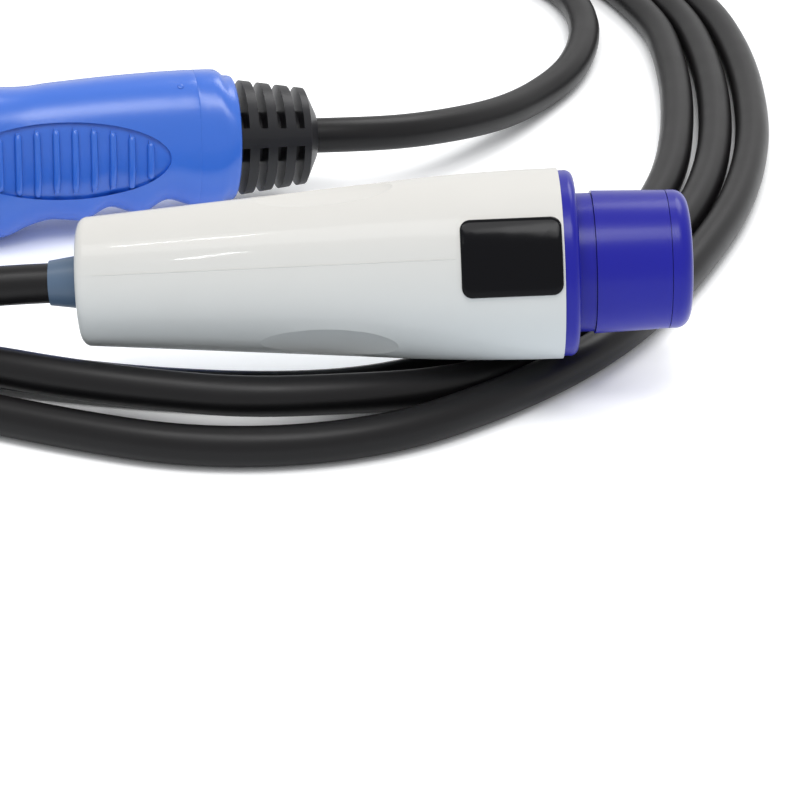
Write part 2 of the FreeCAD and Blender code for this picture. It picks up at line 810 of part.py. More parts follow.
def build_cap():
    """The pull-off cap over the shroud: a sleeve, a pressed-in end and a rubber face seal."""
    inner = "(shroud_radius + running_gap)"
    lathe(
        "cap_sleeve",
        PLUG,
        [
            (CAP_REAR, inner),
            (CAP_REAR, "cap_rear_radius"),
            (CAP_SEAM, "cap_front_radius"),
            (CAP_SEAM, inner),
        ],
    )
    tip = f"({CAP_SEAM} + cap_end_length)"
    plate = f"({CAP_SEAM} + cap_seam)"
    spigot = f"{inner} - fit_gap / 2"
    lathe(
        "cap_end",
        PLUG,
        [
            (f"{CAP_SEAM} - cap_spigot", f"{inner} - cap_seal_width + 1"),
            (f"{CAP_SEAM} - cap_spigot", spigot),
            (plate, spigot),
            (plate, "cap_front_radius"),
            (f"{tip} - cap_end_rounding", "cap_front_radius", "-cap_end_rounding"),
            (tip, "cap_front_radius - cap_end_rounding"),
            (tip, "0"),
            (f"{tip} - cap_end_wall", "0"),
            (f"{tip} - cap_end_wall", f"{inner} - cap_seal_width + 1"),
        ],
    )
    face = f"{CAP_SEAM} - cap_spigot"
    lathe(
        "cap_seal",
        PLUG,
        [
            (f"{face} - cap_seal_thickness", f"{inner} - cap_seal_width"),
            (f"{face} - cap_seal_thickness", f"{inner} - fit_gap"),
            (face, f"{inner} - fit_gap"),
            (face, f"{inner} - cap_seal_width"),
        ],
    )


# The connector's moulded handle


def handle_stations():
    """The handle's sections from the rear face to the nose: reach, rise, drop and half width."""
    rise, drop, width = number("grip_rise"), number("grip_drop"), number("grip_half_width")
    rear = number("boot_front_radius")
    first, pitch = number("first_finger"), number("finger_pitch")
    fingers = int(number("fingers"))
    last = first + pitch * fingers
    bend, head, crest = number("bend_reach"), number("head_length"), number("head_rise")
    stations = [(0, rear - 3.2, rear - 3.2, rear - 3.6), (4, rear - 2.6, rear - 2.8, rear - 3)]
    stations += [(8, rear + 1, rear + 0.6, width - 0.6)]
    for step in range(2 * fingers + 1):
        reach = first + pitch * step / 2
        along = (reach - first) / (last - first)
        dent = number("finger_depth") * (step % 2) * (1 if step < 2 * fingers - 1 else 0.5)
        low = drop + number("grip_flare") * along - dent
        stations.append((reach, rise - number("grip_dip") * along**1.5, low, width))
    low = drop + number("grip_flare")
    stations += [
        (last + 8, rise - number("grip_dip"), low + 3.6, width + 0.8),
        (last + 17, crest - 5, low + 4.6, width + 1.8),
        (last + 26, crest - 1.4, low + 3.8, width + 2.4),
        (bend, crest, low + 2.6, width + 3),
        (bend + head * 0.3, crest, low, width + 4.4),
        (bend + head * 0.6, crest - 1, drop + 2.5, width + 4),
        (bend + head * 0.85, crest - 4.8, drop - 2.2, width + 2.6),
        (bend + head, number("nose_radius") + 3, number("nose_radius") + 3, number("nose_radius") + 3),
    ]
    return stations


def eased(table, column, reach):
    """One column of the stations at a reach, on a curve that never overshoots them."""
    xs = [row[0] for row in table]
    ys = [row[column] for row in table]
    k = max(1, min(len(xs) - 1, sum(x < reach for x in xs)))
    slopes = [(ys[i + 1] - ys[i]) / (xs[i + 1] - xs[i]) for i in range(len(xs) - 1)]

    def slope(i):
        if i in (0, len(xs) - 1):
            return slopes[0 if i == 0 else -1]
        before, after = slopes[i - 1], slopes[i]
        return 2 * before * after / (before + after) if before * after > 0 else 0

    step = xs[k] - xs[k - 1]
    t = min(max((reach - xs[k - 1]) / step, 0), 1)
    low = (2 * t**3 - 3 * t**2 + 1) * ys[k - 1] + (t**3 - 2 * t**2 + t) * step * slope(k - 1)
    return low + (3 * t**2 - 2 * t**3) * ys[k] + (t**3 - t**2) * step * slope(k)


def handle_form(inset, first=0, last=None):
    """The handle's left half as a solid, set in by inset all round. Its flat face is the parting plane,
    or 1 mm beyond it on a form that is set in, so that no two flat faces meet in a cut."""
    stations = handle_stations()
    bend, power = number("bend_reach"), 2 / number("grip_fullness")
    last = stations[-1][0] if last is None else last
    rows, count, steps = [], 32, 12
    for j in range(count + 1):
        reach = first + (last - first) * j / count
        rise, drop, width = (eased(stations, column, reach) - inset for column in (1, 2, 3))
        turned = min(max((reach - bend) / 24 + 0.5, 0), 1)
        place = Placement(Vector(number("boot_length") + min(reach, bend), 0, 0), Rotation())
        if reach > bend:
            place = Placement(BEND.multVec(Vector(reach - bend, 0, 0)), Rotation())
        place.Rotation = Rotation(Y_AXIS, number("bend_angle") * turned)
        row = []
        for i in range(steps + 1):
            angle = math.pi * (i / steps - 0.5)
            y = width * abs(math.cos(angle)) ** power if 0 < i < steps else 0
            z = (rise if angle > 0 else drop) * abs(math.sin(angle)) ** power
            row.append(Vector(0, y, math.copysign(z, angle)))
        if inset:
            row.insert(0, row[0] - Y_AXIS)
            row.append(row[-1] - Y_AXIS)
        rows.append([place.multVec(spot) for spot in row])
    surface = Part.BSplineSurface()
    surface.interpolate(rows)
    skin = surface.toShape()
    corners = [rows[0][0], rows[0][-1], rows[-1][0], rows[-1][-1]]
    lines = [Part.LineSegment(corners[i], corners[i + 1]).toShape() for i in (0, 2)]

    def between(a, b):
        """The skin's edge that joins two of its corners."""
        def miss(edge):
            ends = [vertex.Point for vertex in edge.Vertexes]
            return min((ends[0] - p).Length + (ends[-1] - q).Length for p, q in ((a, b), (b, a)))

        return min(skin.Edges, key=miss)

    rear, front = between(corners[0], corners[1]), between(corners[2], corners[3])
    keel, crown = between(corners[0], corners[2]), between(corners[1], corners[3])
    closing = [
        Part.Face(Part.Wire([rear, lines[0]])),
        Part.Face(Part.Wire([front, lines[1]])),
        Part.Face(Part.Wire(Part.__sortEdges__([keel, lines[1], crown, lines[0]]))),
    ]
    shell = Part.makeShell([skin] + closing)
    shell.sewShape()
    form = Part.makeSolid(shell)
    if form.Volume < 0:
        form.reverse()
    return form


def rod(radius, start, direction, length):
    return Part.makeCylinder(radius, length, start, direction)


def block(low, high, place=Placement()):
    box = Part.makeBox(*(b - a for a, b in zip(low, high)), Vector(*low))
    box.Placement = place
    return box


def ellipse_prism(x, z, half_x, half_z):
    """An elliptical prism that runs outwards from inside the left flank's recess."""
    ring = Part.Ellipse(Vector(x + half_x, 0, z), Vector(x, 0, z + half_z), Vector(x, 0, z))
    face = Part.Face(Part.Wire(ring.toShape()))
    face.translate(Vector(0, 12, 0))
    return face.extrude(Vector(0, 30, 0))


HANDLE_SCREWS = ((46, 18), (46, -17), (101, 19), (112, -26))


def side_recess():
    """The elliptical hollow in the left flank, less the ribs that stand in it."""
    x, z = number("boot_length + recess_reach"), -number("recess_drop")
    half_x, half_z = number("recess_half_length"), number("recess_half_height")
    margin, pitch, width = number("rib_margin"), number("rib_pitch"), number("rib_width")
    count = int(number("ribs"))
    hollow = ellipse_prism(x, z, half_x, half_z).cut(handle_form(number("recess_depth")))
    bars = []
    for i in range(count):
        low = x + (i - (count - 1) / 2) * pitch - width / 2
        bars.append(block((low, -60, -30), (low + width, 60, 30)))
    band = ellipse_prism(x, z, half_x - margin, half_z - margin)
    return hollow.cut(Part.makeCompound(bars).common(band))


def handle_shells():
    """The two moulded halves: hollow, with finger dents, ribbed recesses, screw posts and latch seats."""
    wall, gap = number("grip_wall"), number("fit_gap")
    boot = number("boot_length")
    outer = handle_form(0)
    inner = handle_form(wall, wall, number("bend_reach + head_length - head_wall"))
    half = outer.cut(inner)
    floor, shelf = number("latch_slot_floor"), number("shelf_top")
    pivot = BEND.multVec(Vector(number("latch_pivot_reach"), 0, number("latch_pivot_rise")))
    slot_side = number("latch_slot_half_width")
    rear, front = number("shelf_rear"), number("shelf_front")
    posts = [rod(number("boss_radius"), Vector(boot + x, 0, z), Y_AXIS, 60) for x, z in HANDLE_SCREWS]
    posts.append(rod(number("latch_boss_radius"), pivot + Y_AXIS * (slot_side - 1), Y_AXIS, 60))
    posts.append(block((rear, 0, shelf - number("shelf_thickness")), (front, 60, shelf), BEND))
    fill = Part.makeCompound(posts).common(handle_form(1))
    half = half.fuse(fill.Solids)
    slot_rear, slot_front = number("latch_slot_rear"), number("latch_slot_front")
    mouth_radius = number("nose_radius - nose_relief") + gap
    mouth = rod(mouth_radius, Vector(number("nose_root"), 0, 0), X_AXIS, 60)
    mouth.Placement = BEND
    tools = [
        block((slot_rear, -slot_side, floor), (slot_front, slot_side, 60), BEND),
        mouth,
        rod(number("boot_root_radius") + gap, Vector(boot - 2, 0, 0), X_AXIS, 2 * wall + 2),
        rod(number("latch_pin_radius") + gap / 2, pivot, Y_AXIS, number("latch_pin_half_length")),
        side_recess(),
    ]
    bite = number("screw_bite")
    hole = number("screw_radius") + gap
    tools += [rod(hole, Vector(boot + x, -1, z), Y_AXIS, bite) for x, z in HANDLE_SCREWS]
    for tool in tools:
        before = half.Volume
        half = half.cut(tool)
        if half.Volume > before - 1:
            raise ValueError("a cut took nothing off the handle shell")
    seats = [
        rod(number("screw_head_radius") + 0.3, Vector(boot + x, -number("screw_seat"), z), -Y_AXIS, 60)
        for x, z in HANDLE_SCREWS
    ]
    solid_node("handle_shell_left", half, CONNECTOR)
    solid_node("handle_shell_right", half.mirror(MIDDLE, Y_AXIS).cut(seats), CONNECTOR)


def handle_boot():
    """The rubber boot: a cone with slots on its upper and lower sides, and a root in the housing."""
    body = new_body("handle_boot", CONNECTOR)
    form = new_sketch(body, "XY_Plane")
    bore = "cable_radius + fit_gap"
    wall_end = "(boot_length + grip_wall + fit_gap)"
    outline(
        form,
        [
            ("0", bore),
            ("0", "boot_tip_radius"),
            ("boot_shoulder", "boot_rear_radius"),
            ("boot_length", "boot_front_radius"),
            ("boot_length", "boot_root_radius"),
            (wall_end, "boot_root_radius"),
            (wall_end, "boot_lip_radius"),
            ("boot_length + boot_root", "boot_lip_radius"),
            ("boot_length + boot_root", bore),
        ],
    )
    turn(body, form)
    slots = new_sketch(body, "XZ_Plane")
    for i in range(int(number("boot_slots"))):
        low = f"boot_first_slot + {i} * boot_slot_pitch"
        rectangle(slots, low, "boot_core_radius", f"{low} + boot_slot_width", "boot_front_radius + 5")
    cut = turn(body, slots, kind="Groove", angle=180 - number("boot_spine_angle"), Midplane=True)
    cut.setExpression("Angle", cells("180 - boot_spine_angle"))
    doc.recompute()
    pair = body.newObject("PartDesign::PolarPattern", "Slots")
    pair.Originals = [cut]
    pair.Axis = (slots, ["H_Axis"])
    pair.Angle = 360
    pair.Occurrences = 2
    body.Tip = pair
    return body


SOCKETS = {
    "line": ("power_socket_side", "power_socket_rise", "power_socket_bore", "power_well_radius"),
    "neutral": ("-power_socket_side", "power_socket_rise", "power_socket_bore", "power_well_radius"),
    "earth": ("0", "-earth_socket_drop", "earth_socket_bore", "earth_well_radius"),
    "pilot": ("signal_socket_side", "-signal_socket_drop", "signal_socket_bore", "signal_well_radius"),
    "proximity": (
        "-signal_socket_side", "-signal_socket_drop", "signal_socket_bore", "signal_well_radius",
    ),
}


def connector_nose():
    """The round black nose, flanged inside the housing, with a keyway along its underside."""
    inner = "nose_radius - nose_wall"
    stop = "head_length - head_wall - running_gap"
    step = "head_length + front_seal_width + nose_relief"
    body = lathe(
        "connector_nose",
        NOSE,
        [
            ("nose_root", inner),
            ("nose_root", "nose_flange_radius"),
            (stop, "nose_flange_radius"),
            (stop, "nose_radius - nose_relief"),
            (step, "nose_radius - nose_relief"),
            (step, "nose_radius"),
            ("nose_reach - nose_chamfer", "nose_radius"),
            ("nose_reach", "nose_radius - nose_chamfer"),
            ("nose_reach", inner),
        ],
    )
    key = new_sketch(body, "YZ_Plane", "nose_reach")
    rectangle(key, "-key_half_width", "-nose_radius - 1", "key_half_width", "-(nose_radius - key_depth)")
    extrude(body, key, "key_length", kind="Pocket")


def contact_block():
    """The insulating block in the nose, with a deep well in front of each socket."""
    body = new_body("connector_contact_block", NOSE)
    face = "(nose_reach - block_recess)"
    core = new_sketch(body, "YZ_Plane", "block_rear")
    circle(core, "0", "0", "nose_radius - nose_wall - fit_gap")
    extrude(body, core, f"{face} - block_rear")
    wells = new_sketch(body, "YZ_Plane", face)
    holes = new_sketch(body, "YZ_Plane", face)
    for y, z, bore, well in SOCKETS.values():
        circle(wells, y, z, well)
        circle(holes, y, z, f"{bore} + socket_wall + fit_gap / 2")
    extrude(body, wells, "well_depth", kind="Pocket")
    extrude(body, holes, f"{face} - block_rear", kind="Pocket")


def socket(name, y, z, bore):
    """A turned socket contact: a bored front, a collar behind the block and a solid crimp tail."""
    front = "(nose_reach - socket_recess)"
    outer = f"({bore} + socket_wall)"
    lathe(
        f"connector_socket_{name}",
        NOSE * at("0", y, z),
        [
            ("block_rear - socket_tail", "0"),
            ("block_rear - socket_tail", outer),
            ("block_rear - collar_length", outer),
            ("block_rear - collar_length", f"{outer} + collar_wall"),
            ("block_rear", f"{outer} + collar_wall"),
            ("block_rear", outer),
            (front, outer),
            (front, bore),
            (f"{front} - socket_bore_depth", bore),
            (f"{front} - socket_bore_depth", "0"),
        ],
    )


def latch():
    """The thumb latch over the nose: lever, pivot pin, return spring, and the switch that it presses."""
    lever = new_body("latch_lever", NOSE)
    side = new_sketch(lever, "XZ_Plane")
    rise, reach = "latch_pivot_rise", "latch_pivot_reach"
    corners = [
        (-28, -1), (-28, 7.5), (-24, 9.6), (-9, 10), (-2, 8), (10, 7), (30, 5.6), (54, 4.7), (59, 3.4),
        (60.5, -2.4), (57, -2.6), (54.5, 1.2), (16, 1.2), (10, -1), (6, -4.2), (-6, -4.2), (-10, -1),
    ]
    unit = "latch_module"
    outline(side, [(f"{reach} + {x} * {unit}", f"{rise} + {z} * {unit}") for x, z in corners])
    extrude(lever, side, "2 * latch_half_width", Midplane=True)
    pivot = new_sketch(lever, "XZ_Plane")
    circle(pivot, reach, rise, "latch_pin_radius + latch_pin_gap")
    extrude(lever, pivot, "2 * latch_half_width", kind="Pocket", Midplane=True)
    doc.recompute()
    pin = new_body("latch_pin", NOSE)
    round_form = new_sketch(pin, "XZ_Plane")
    circle(round_form, reach, rise, "latch_pin_radius")
    extrude(pin, round_form, "2 * latch_pin_half_length", Midplane=True)
    latch_spring()
    switch = new_body("latch_switch", NOSE)
    base = new_sketch(switch, "XY_Plane", "shelf_top")
    rectangle(
        base, "-switch_half_length", "-switch_half_width", "switch_half_length", "switch_half_width"
    )
    extrude(switch, base, "switch_height")
    well = new_sketch(switch, "XY_Plane", "shelf_top + switch_height")
    circle(well, "0", "0", "plunger_radius + running_gap")
    extrude(switch, well, "plunger_well", kind="Pocket")
    plunger = new_body("switch_plunger", NOSE)
    stem = new_sketch(plunger, "XY_Plane", "latch_pivot_rise - 1 - running_gap")
    circle(stem, "0", "0", "plunger_radius")
    extrude(plunger, stem, "plunger_length", Reversed=True)


def latch_spring():
    """A compression spring between the shelf and the thumb pad, with a flat-lying wire at each end."""
    wire = number("spring_wire_radius")
    low = number("shelf_top") + wire
    high = number("latch_pivot_rise - 1") - wire - 0.05
    radius = number("spring_radius")
    pitch = (high - low) / number("spring_turns")
    path = Part.makeHelix(pitch, high - low, radius)
    path.translate(Vector(number("spring_reach"), 0, low))
    start = path.Edges[0].firstVertex().Point
    along = path.Edges[0].tangentAt(path.Edges[0].FirstParameter)
    ring = Part.Wire(Part.Circle(start, along, wire).toShape())
    shape = Part.Wire(path.Edges).makePipeShell([ring], True, True)
    solid_node("latch_spring", shape, NOSE)


def build_connector():
    handle_shells()
    across = CONNECTOR * Placement(MIDDLE, Rotation(X_AXIS, -90))
    seats = [(f"boot_length + {x}", f"{-z}", "-screw_seat") for x, z in HANDLE_SCREWS]
    screw_set(
        "handle_shell_screws", across, seats, "screw_head_radius", "screw_radius",
        "screw_seat + screw_bite - 1",
    )
    handle_boot()
    clamp("handle", across, "(boot_length + 15)", "(grip_half_width - grip_wall - 1)")
    tail_end = "boot_length + tail_reach - 20"
    lathe(
        "handle_cable_tail",
        CONNECTOR,
        [("3", "0"), ("3", "cable_radius"), (tail_end, "cable_radius"), (tail_end, "0")],
    )
    connector_nose()
    contact_block()
    for name, (y, z, bore, _) in SOCKETS.items():
        socket(name, y, z, bore)
    lathe(
        "connector_front_seal",
        NOSE,
        [
            ("head_length", "nose_radius - nose_relief + fit_gap / 2"),
            ("head_length", "front_seal_radius"),
            ("head_length + front_seal_width", "front_seal_radius - 1"),
            ("head_length + front_seal_width", "nose_radius - nose_relief + fit_gap / 2"),
        ],
    )
    latch()
    start = number(tail_end)
    offsets = {
        "line": (3.4, 1.4), "neutral": (-3.4, 1.4), "earth": (0, -3.4), "pilot": (4.4, -4.4),
        "proximity": (-4.4, -4.4),
    }
    for name, (y, z) in offsets.items():
        far_y, far_z, bore, _ = SOCKETS[name]
        core = "core_radius" if "signal" not in far_y else "pilot_core_radius"
        end = BEND.multVec(Vector(number("block_rear - socket_tail"), number(far_y), number(far_z)))
        inward = BEND.Rotation.multVec(X_AXIS)
        points = [
            Vector(start, y, z),
            Vector(start + 22, y, z),
            end - inward * 22,
            end,
        ]
        solid_node(f"handle_wire_{name}", tube(points, number(core))[0], CONNECTOR)


# The free cable. Its points are places on the table, chosen by hand


def on_table(points):
    return [TABLE.multVec(Vector(*p)) for p in points]


def plug_lead_route():
    start = TABLE.inverse().multiply(PLUG)
    exits = [start.multVec(Vector(x, 0, 0)) for x in (2, -30)]
    return [(p.x, p.y, p.z) for p in exits] + [
        (-212, 964, 40), (-252, 978, 31), (-288, 1003, 25), (-317, 1037, 23.7), (-338, 1077, 23.6),
        (-350, 1122, 23.6),
    ]


def handle_lead_route():
    start = TABLE.inverse().multiply(CONNECTOR)
    exits = [start.multVec(Vector(x, 0, 0)) for x in (3, -16)]
    return [(p.x, p.y, p.z) for p in exits] + [
        (0, 1163.5, 26), (24, 1184, 20.5), (48, 1213, 13.5), (66, 1243, 9), (82, 1272, 8),
        (92, 1303, 8), (96.5, 1340, 8), (92, 1378, 8), (76, 1412, 8), (47, 1444, 8), (8, 1471, 8),
        (-36, 1491, 8), (-80, 1505, 8),
    ]


# The outer edge of the coil, as its reach from the middle of the ring every 30 degrees from +X
COIL_MIDDLE = (-85, 1220)
COIL_REACH = (266, 304, 344, 336, 322, 308, 304, 322, 316, 321, 302, 267)
COIL_WIDTH = (54, 56, 58, 56, 54, 52, 52, 48, 42, 42, 50, 54)


def coil_outline(inner, inset, height):
    """One level of the ring's edge, or of its hole's, as a smooth closed curve."""
    points = []
    for i, (reach, width) in enumerate(zip(COIL_REACH, COIL_WIDTH)):
        angle = 2 * math.pi * i / len(COIL_REACH)
        r = reach - width + inset if inner else reach - inset
        points.append((COIL_MIDDLE[0] + r * math.cos(angle), COIL_MIDDLE[1] + r * math.sin(angle), height))
    curve = Part.BSplineCurve()
    curve.interpolate(Points=on_table(points), PeriodicFlag=True)
    return Part.Wire(curve.toShape())


def build_cable():
    radius = number("cable_radius")
    routes = (
        ("cable_plug_lead", plug_lead_route()),
        ("cable_handle_lead", handle_lead_route()),
    )
    for label, route in routes:
        shape, length, radii = tube(on_table(route), radius)
        print(label, f"{length:.0f} mm, radii", [round(r) for r in radii])
        solid_node(label, shape, Placement())
    levels = ((0, 0.7), (0.2, 0.3), (0.6, 0), (1.4, 0), (1.8, 0.3), (2, 0.7))
    forms = []
    for inner in (False, True):
        rings = [coil_outline(inner, inset * radius, height * radius) for height, inset in levels]
        forms.append(Part.makeLoft(rings, True, True))
    coil = forms[0].cut(forms[1])
    solid_node("cable_coil", coil, Placement())


build_plug()
build_cap()
build_connector()
build_cable()
doc.recompute()

failed = [item for item in doc.Objects if {"Invalid", "Error"} & set(item.State)]
for item in failed:
    print(item.Label, item.State, [owner.Label for owner in item.InListRecursive][:4])
if failed:
    raise ValueError(f"{len(failed)} objects failed to compute")
os.makedirs("parts", exist_ok=True)
for node in NODES:
    shape = node.Shape
    if shape.isNull() or not shape.isValid():
        raise ValueError(f"{node.Label} has no valid shape")
    shape.exportStep(f"parts/{node.Label}.step")
print(len(NODES), "nodes")
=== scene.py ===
import json
import math

import bpy
from mathutils import Euler, Matrix, Vector
from mathutils.bvhtree import BVHTree


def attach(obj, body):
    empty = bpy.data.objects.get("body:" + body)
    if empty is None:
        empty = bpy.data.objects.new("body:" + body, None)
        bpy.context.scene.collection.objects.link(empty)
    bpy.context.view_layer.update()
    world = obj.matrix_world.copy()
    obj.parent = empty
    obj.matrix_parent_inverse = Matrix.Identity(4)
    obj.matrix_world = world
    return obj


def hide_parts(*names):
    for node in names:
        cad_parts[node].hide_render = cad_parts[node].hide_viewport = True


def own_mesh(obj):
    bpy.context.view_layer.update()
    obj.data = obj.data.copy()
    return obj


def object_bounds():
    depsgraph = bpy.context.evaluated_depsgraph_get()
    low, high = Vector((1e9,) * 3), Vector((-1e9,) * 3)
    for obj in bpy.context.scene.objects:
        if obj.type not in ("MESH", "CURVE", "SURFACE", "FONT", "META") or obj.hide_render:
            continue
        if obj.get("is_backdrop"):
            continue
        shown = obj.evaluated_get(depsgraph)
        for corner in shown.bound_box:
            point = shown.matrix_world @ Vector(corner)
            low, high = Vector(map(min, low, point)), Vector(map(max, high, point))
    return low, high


with open("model.json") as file:
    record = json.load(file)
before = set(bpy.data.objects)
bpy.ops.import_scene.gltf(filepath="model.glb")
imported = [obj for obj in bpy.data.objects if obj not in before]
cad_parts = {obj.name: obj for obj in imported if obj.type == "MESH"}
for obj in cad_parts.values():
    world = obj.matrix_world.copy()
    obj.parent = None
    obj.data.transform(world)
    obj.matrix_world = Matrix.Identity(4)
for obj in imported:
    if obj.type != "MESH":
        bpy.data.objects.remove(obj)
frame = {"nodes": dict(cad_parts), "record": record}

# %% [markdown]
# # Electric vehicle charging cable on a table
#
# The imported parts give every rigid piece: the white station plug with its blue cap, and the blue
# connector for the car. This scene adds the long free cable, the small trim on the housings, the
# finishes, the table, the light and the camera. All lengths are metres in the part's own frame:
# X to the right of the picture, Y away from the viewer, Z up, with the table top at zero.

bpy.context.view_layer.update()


def show_corners(of_what):
    """Prints the two corners of the box round everything that belongs to the object, in mm."""
    low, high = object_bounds()
    print(of_what, [round(value * 1000, 1) for value in low], "to",
          [round(value * 1000, 1) for value in high])


show_corners("the packed parts reach from")

# %% [markdown]
# ## Where the two housings lie
#
# Places were measured on the table from the camera's foot, because that is where a photograph's
# perspective starts. One constant shift takes them to the part's frame. Each housing also has a
# frame of its own, with X along its axis, so that trim can be given in the housing's own sizes.
# The turns are applied in the order yaw, pitch, roll.

# %% Placing
FOOT_X, FOOT_Y = -0.086962, 1.051339


def on_table(x, y, z):
    """A place measured from the camera's foot, as a place in the part's frame."""
    return Vector((x - FOOT_X, y - FOOT_Y, z))


def turned(x, y, z, yaw, pitch, roll):
    """The frame of one housing: its place on the table and its three turns in degrees."""
    matrix = Matrix.Translation(on_table(x, y, z))
    for turn in ((0, 0, yaw), (0, -pitch, 0), (roll, 0, 0)):
        angles = Euler([math.radians(angle) for angle in turn])
        matrix = matrix @ angles.to_matrix().to_4x4()
    return matrix


PLUG = turned(-0.138, 0.9678, 0.0476, 1.2, 1.9, -31.5)
CONNECTOR = turned(-0.0395, 1.149, 0.030666, 180 + 13, 4.2, 22)
print("plug starts at", [round(value, 4) for value in PLUG.translation])
print("connector's boot starts at", [round(value, 4) for value in CONNECTOR.translation])

# %% [markdown]
# ## How a finish is made
#
# A finish could be a flat colour, but real mouldings are never that even. Each plastic here is a
# base colour with faint cloudy variation, and its gloss follows the same clouds. A very fine bump
# gives the grain of the mould. Everything is worked out from object coordinates, so the pattern
# stays on the piece when a joint moves it.


# %% Noise and ranges
def new_material(name):
    """An empty node material with one Principled shader."""
    material = bpy.data.materials.new(name)
    material.use_nodes = True
    tree = material.node_tree
    tree.nodes.clear()
    output = tree.nodes.new("ShaderNodeOutputMaterial")
    shader = tree.nodes.new("ShaderNodeBsdfPrincipled")
    tree.links.new(shader.outputs["BSDF"], output.inputs["Surface"])
    return material, tree, shader


def noise(tree, scale, detail, stretch=(1, 1, 1)):
    """The value of a noise texture in object coordinates."""
    place = tree.nodes.new("ShaderNodeTexCoord")
    mapping = tree.nodes.new("ShaderNodeMapping")
    mapping.inputs["Scale"].default_value = stretch
    texture = tree.nodes.new("ShaderNodeTexNoise")
    texture.inputs["Scale"].default_value = scale
    texture.inputs["Detail"].default_value = detail
    tree.links.new(place.outputs["Object"], mapping.inputs["Vector"])
    tree.links.new(mapping.outputs["Vector"], texture.inputs["Vector"])
    return texture.outputs["Fac"]


def spread(tree, source, low, high):
    """Maps a 0 to 1 value to the range from low to high."""
    node = tree.nodes.new("ShaderNodeMapRange")
    node.inputs["To Min"].default_value = low
    node.inputs["To Max"].default_value = high
    tree.links.new(source, node.inputs["Value"])
    return node.outputs["Result"]


# %% Moulded plastic and rubber
CLOUD_SCALE, CLOUD_DETAIL = 60.0, 3.0
GRAIN_SCALE, GRAIN_DETAIL, GRAIN_DEPTH = 2200.0, 2.0, 0.0002
GLOSS_SWING = 0.15


def moulded(
    name, colour, roughness,
    variation=0.05, grain=0.02, coat=0.0, coat_roughness=0.12, shine=0.5,
):
    """A colour with cloudy variation, uneven gloss, a fine grain and, if given, a clear coat."""
    material, tree, shader = new_material(name)
    clouds = noise(tree, CLOUD_SCALE, CLOUD_DETAIL)
    mix = tree.nodes.new("ShaderNodeMix")
    mix.data_type = "RGBA"
    mix.inputs["A"].default_value = (*[c * (1 - variation) for c in colour], 1)
    mix.inputs["B"].default_value = (*[min(1, c * (1 + variation)) for c in colour], 1)
    tree.links.new(clouds, mix.inputs["Factor"])
    tree.links.new(mix.outputs["Result"], shader.inputs["Base Color"])
    low, high = roughness * (1 - GLOSS_SWING), min(1, roughness * (1 + GLOSS_SWING))
    tree.links.new(spread(tree, clouds, low, high), shader.inputs["Roughness"])
    shader.inputs["Specular IOR Level"].default_value = shine
    shader.inputs["Coat Weight"].default_value = coat
    shader.inputs["Coat Roughness"].default_value = coat_roughness
    bump = tree.nodes.new("ShaderNodeBump")
    bump.inputs["Strength"].default_value = grain
    bump.inputs["Distance"].default_value = GRAIN_DEPTH
    tree.links.new(noise(tree, GRAIN_SCALE, GRAIN_DETAIL), bump.inputs["Height"])
    tree.links.new(bump.outputs["Normal"], shader.inputs["Normal"])
    return material


# %% Metal
STREAK_SCALE, STREAK_DETAIL, STREAK_STRETCH = 400.0, 4.0, (1, 6, 6)
POLISH_SWING = 0.3


def metal(name, colour, roughness):
    """Plated or turned metal, with fine uneven polish."""
    material, tree, shader = new_material(name)
    shader.inputs["Base Color"].default_value = (*colour, 1)
    shader.inputs["Metallic"].default_value = 1.0
    streaks = noise(tree, STREAK_SCALE, STREAK_DETAIL, STREAK_STRETCH)
    low, high = roughness * (1 - POLISH_SWING), roughness * (1 + POLISH_SWING)
    tree.links.new(spread(tree, streaks, low, high), shader.inputs["Roughness"])
    return material


# %% [markdown]
# ## The finishes of this cable
#
# The white housing is satin with a thin gloss on top, which draws the two small glints. The blue
# handle's coat is rougher, so the lamp shows in it as a broad soft band. The label is the shiniest
# black, the boot is duller, and the cable's sheath has the most uneven gloss. Each part in the
# record names a slot, and gets the finish of that slot.

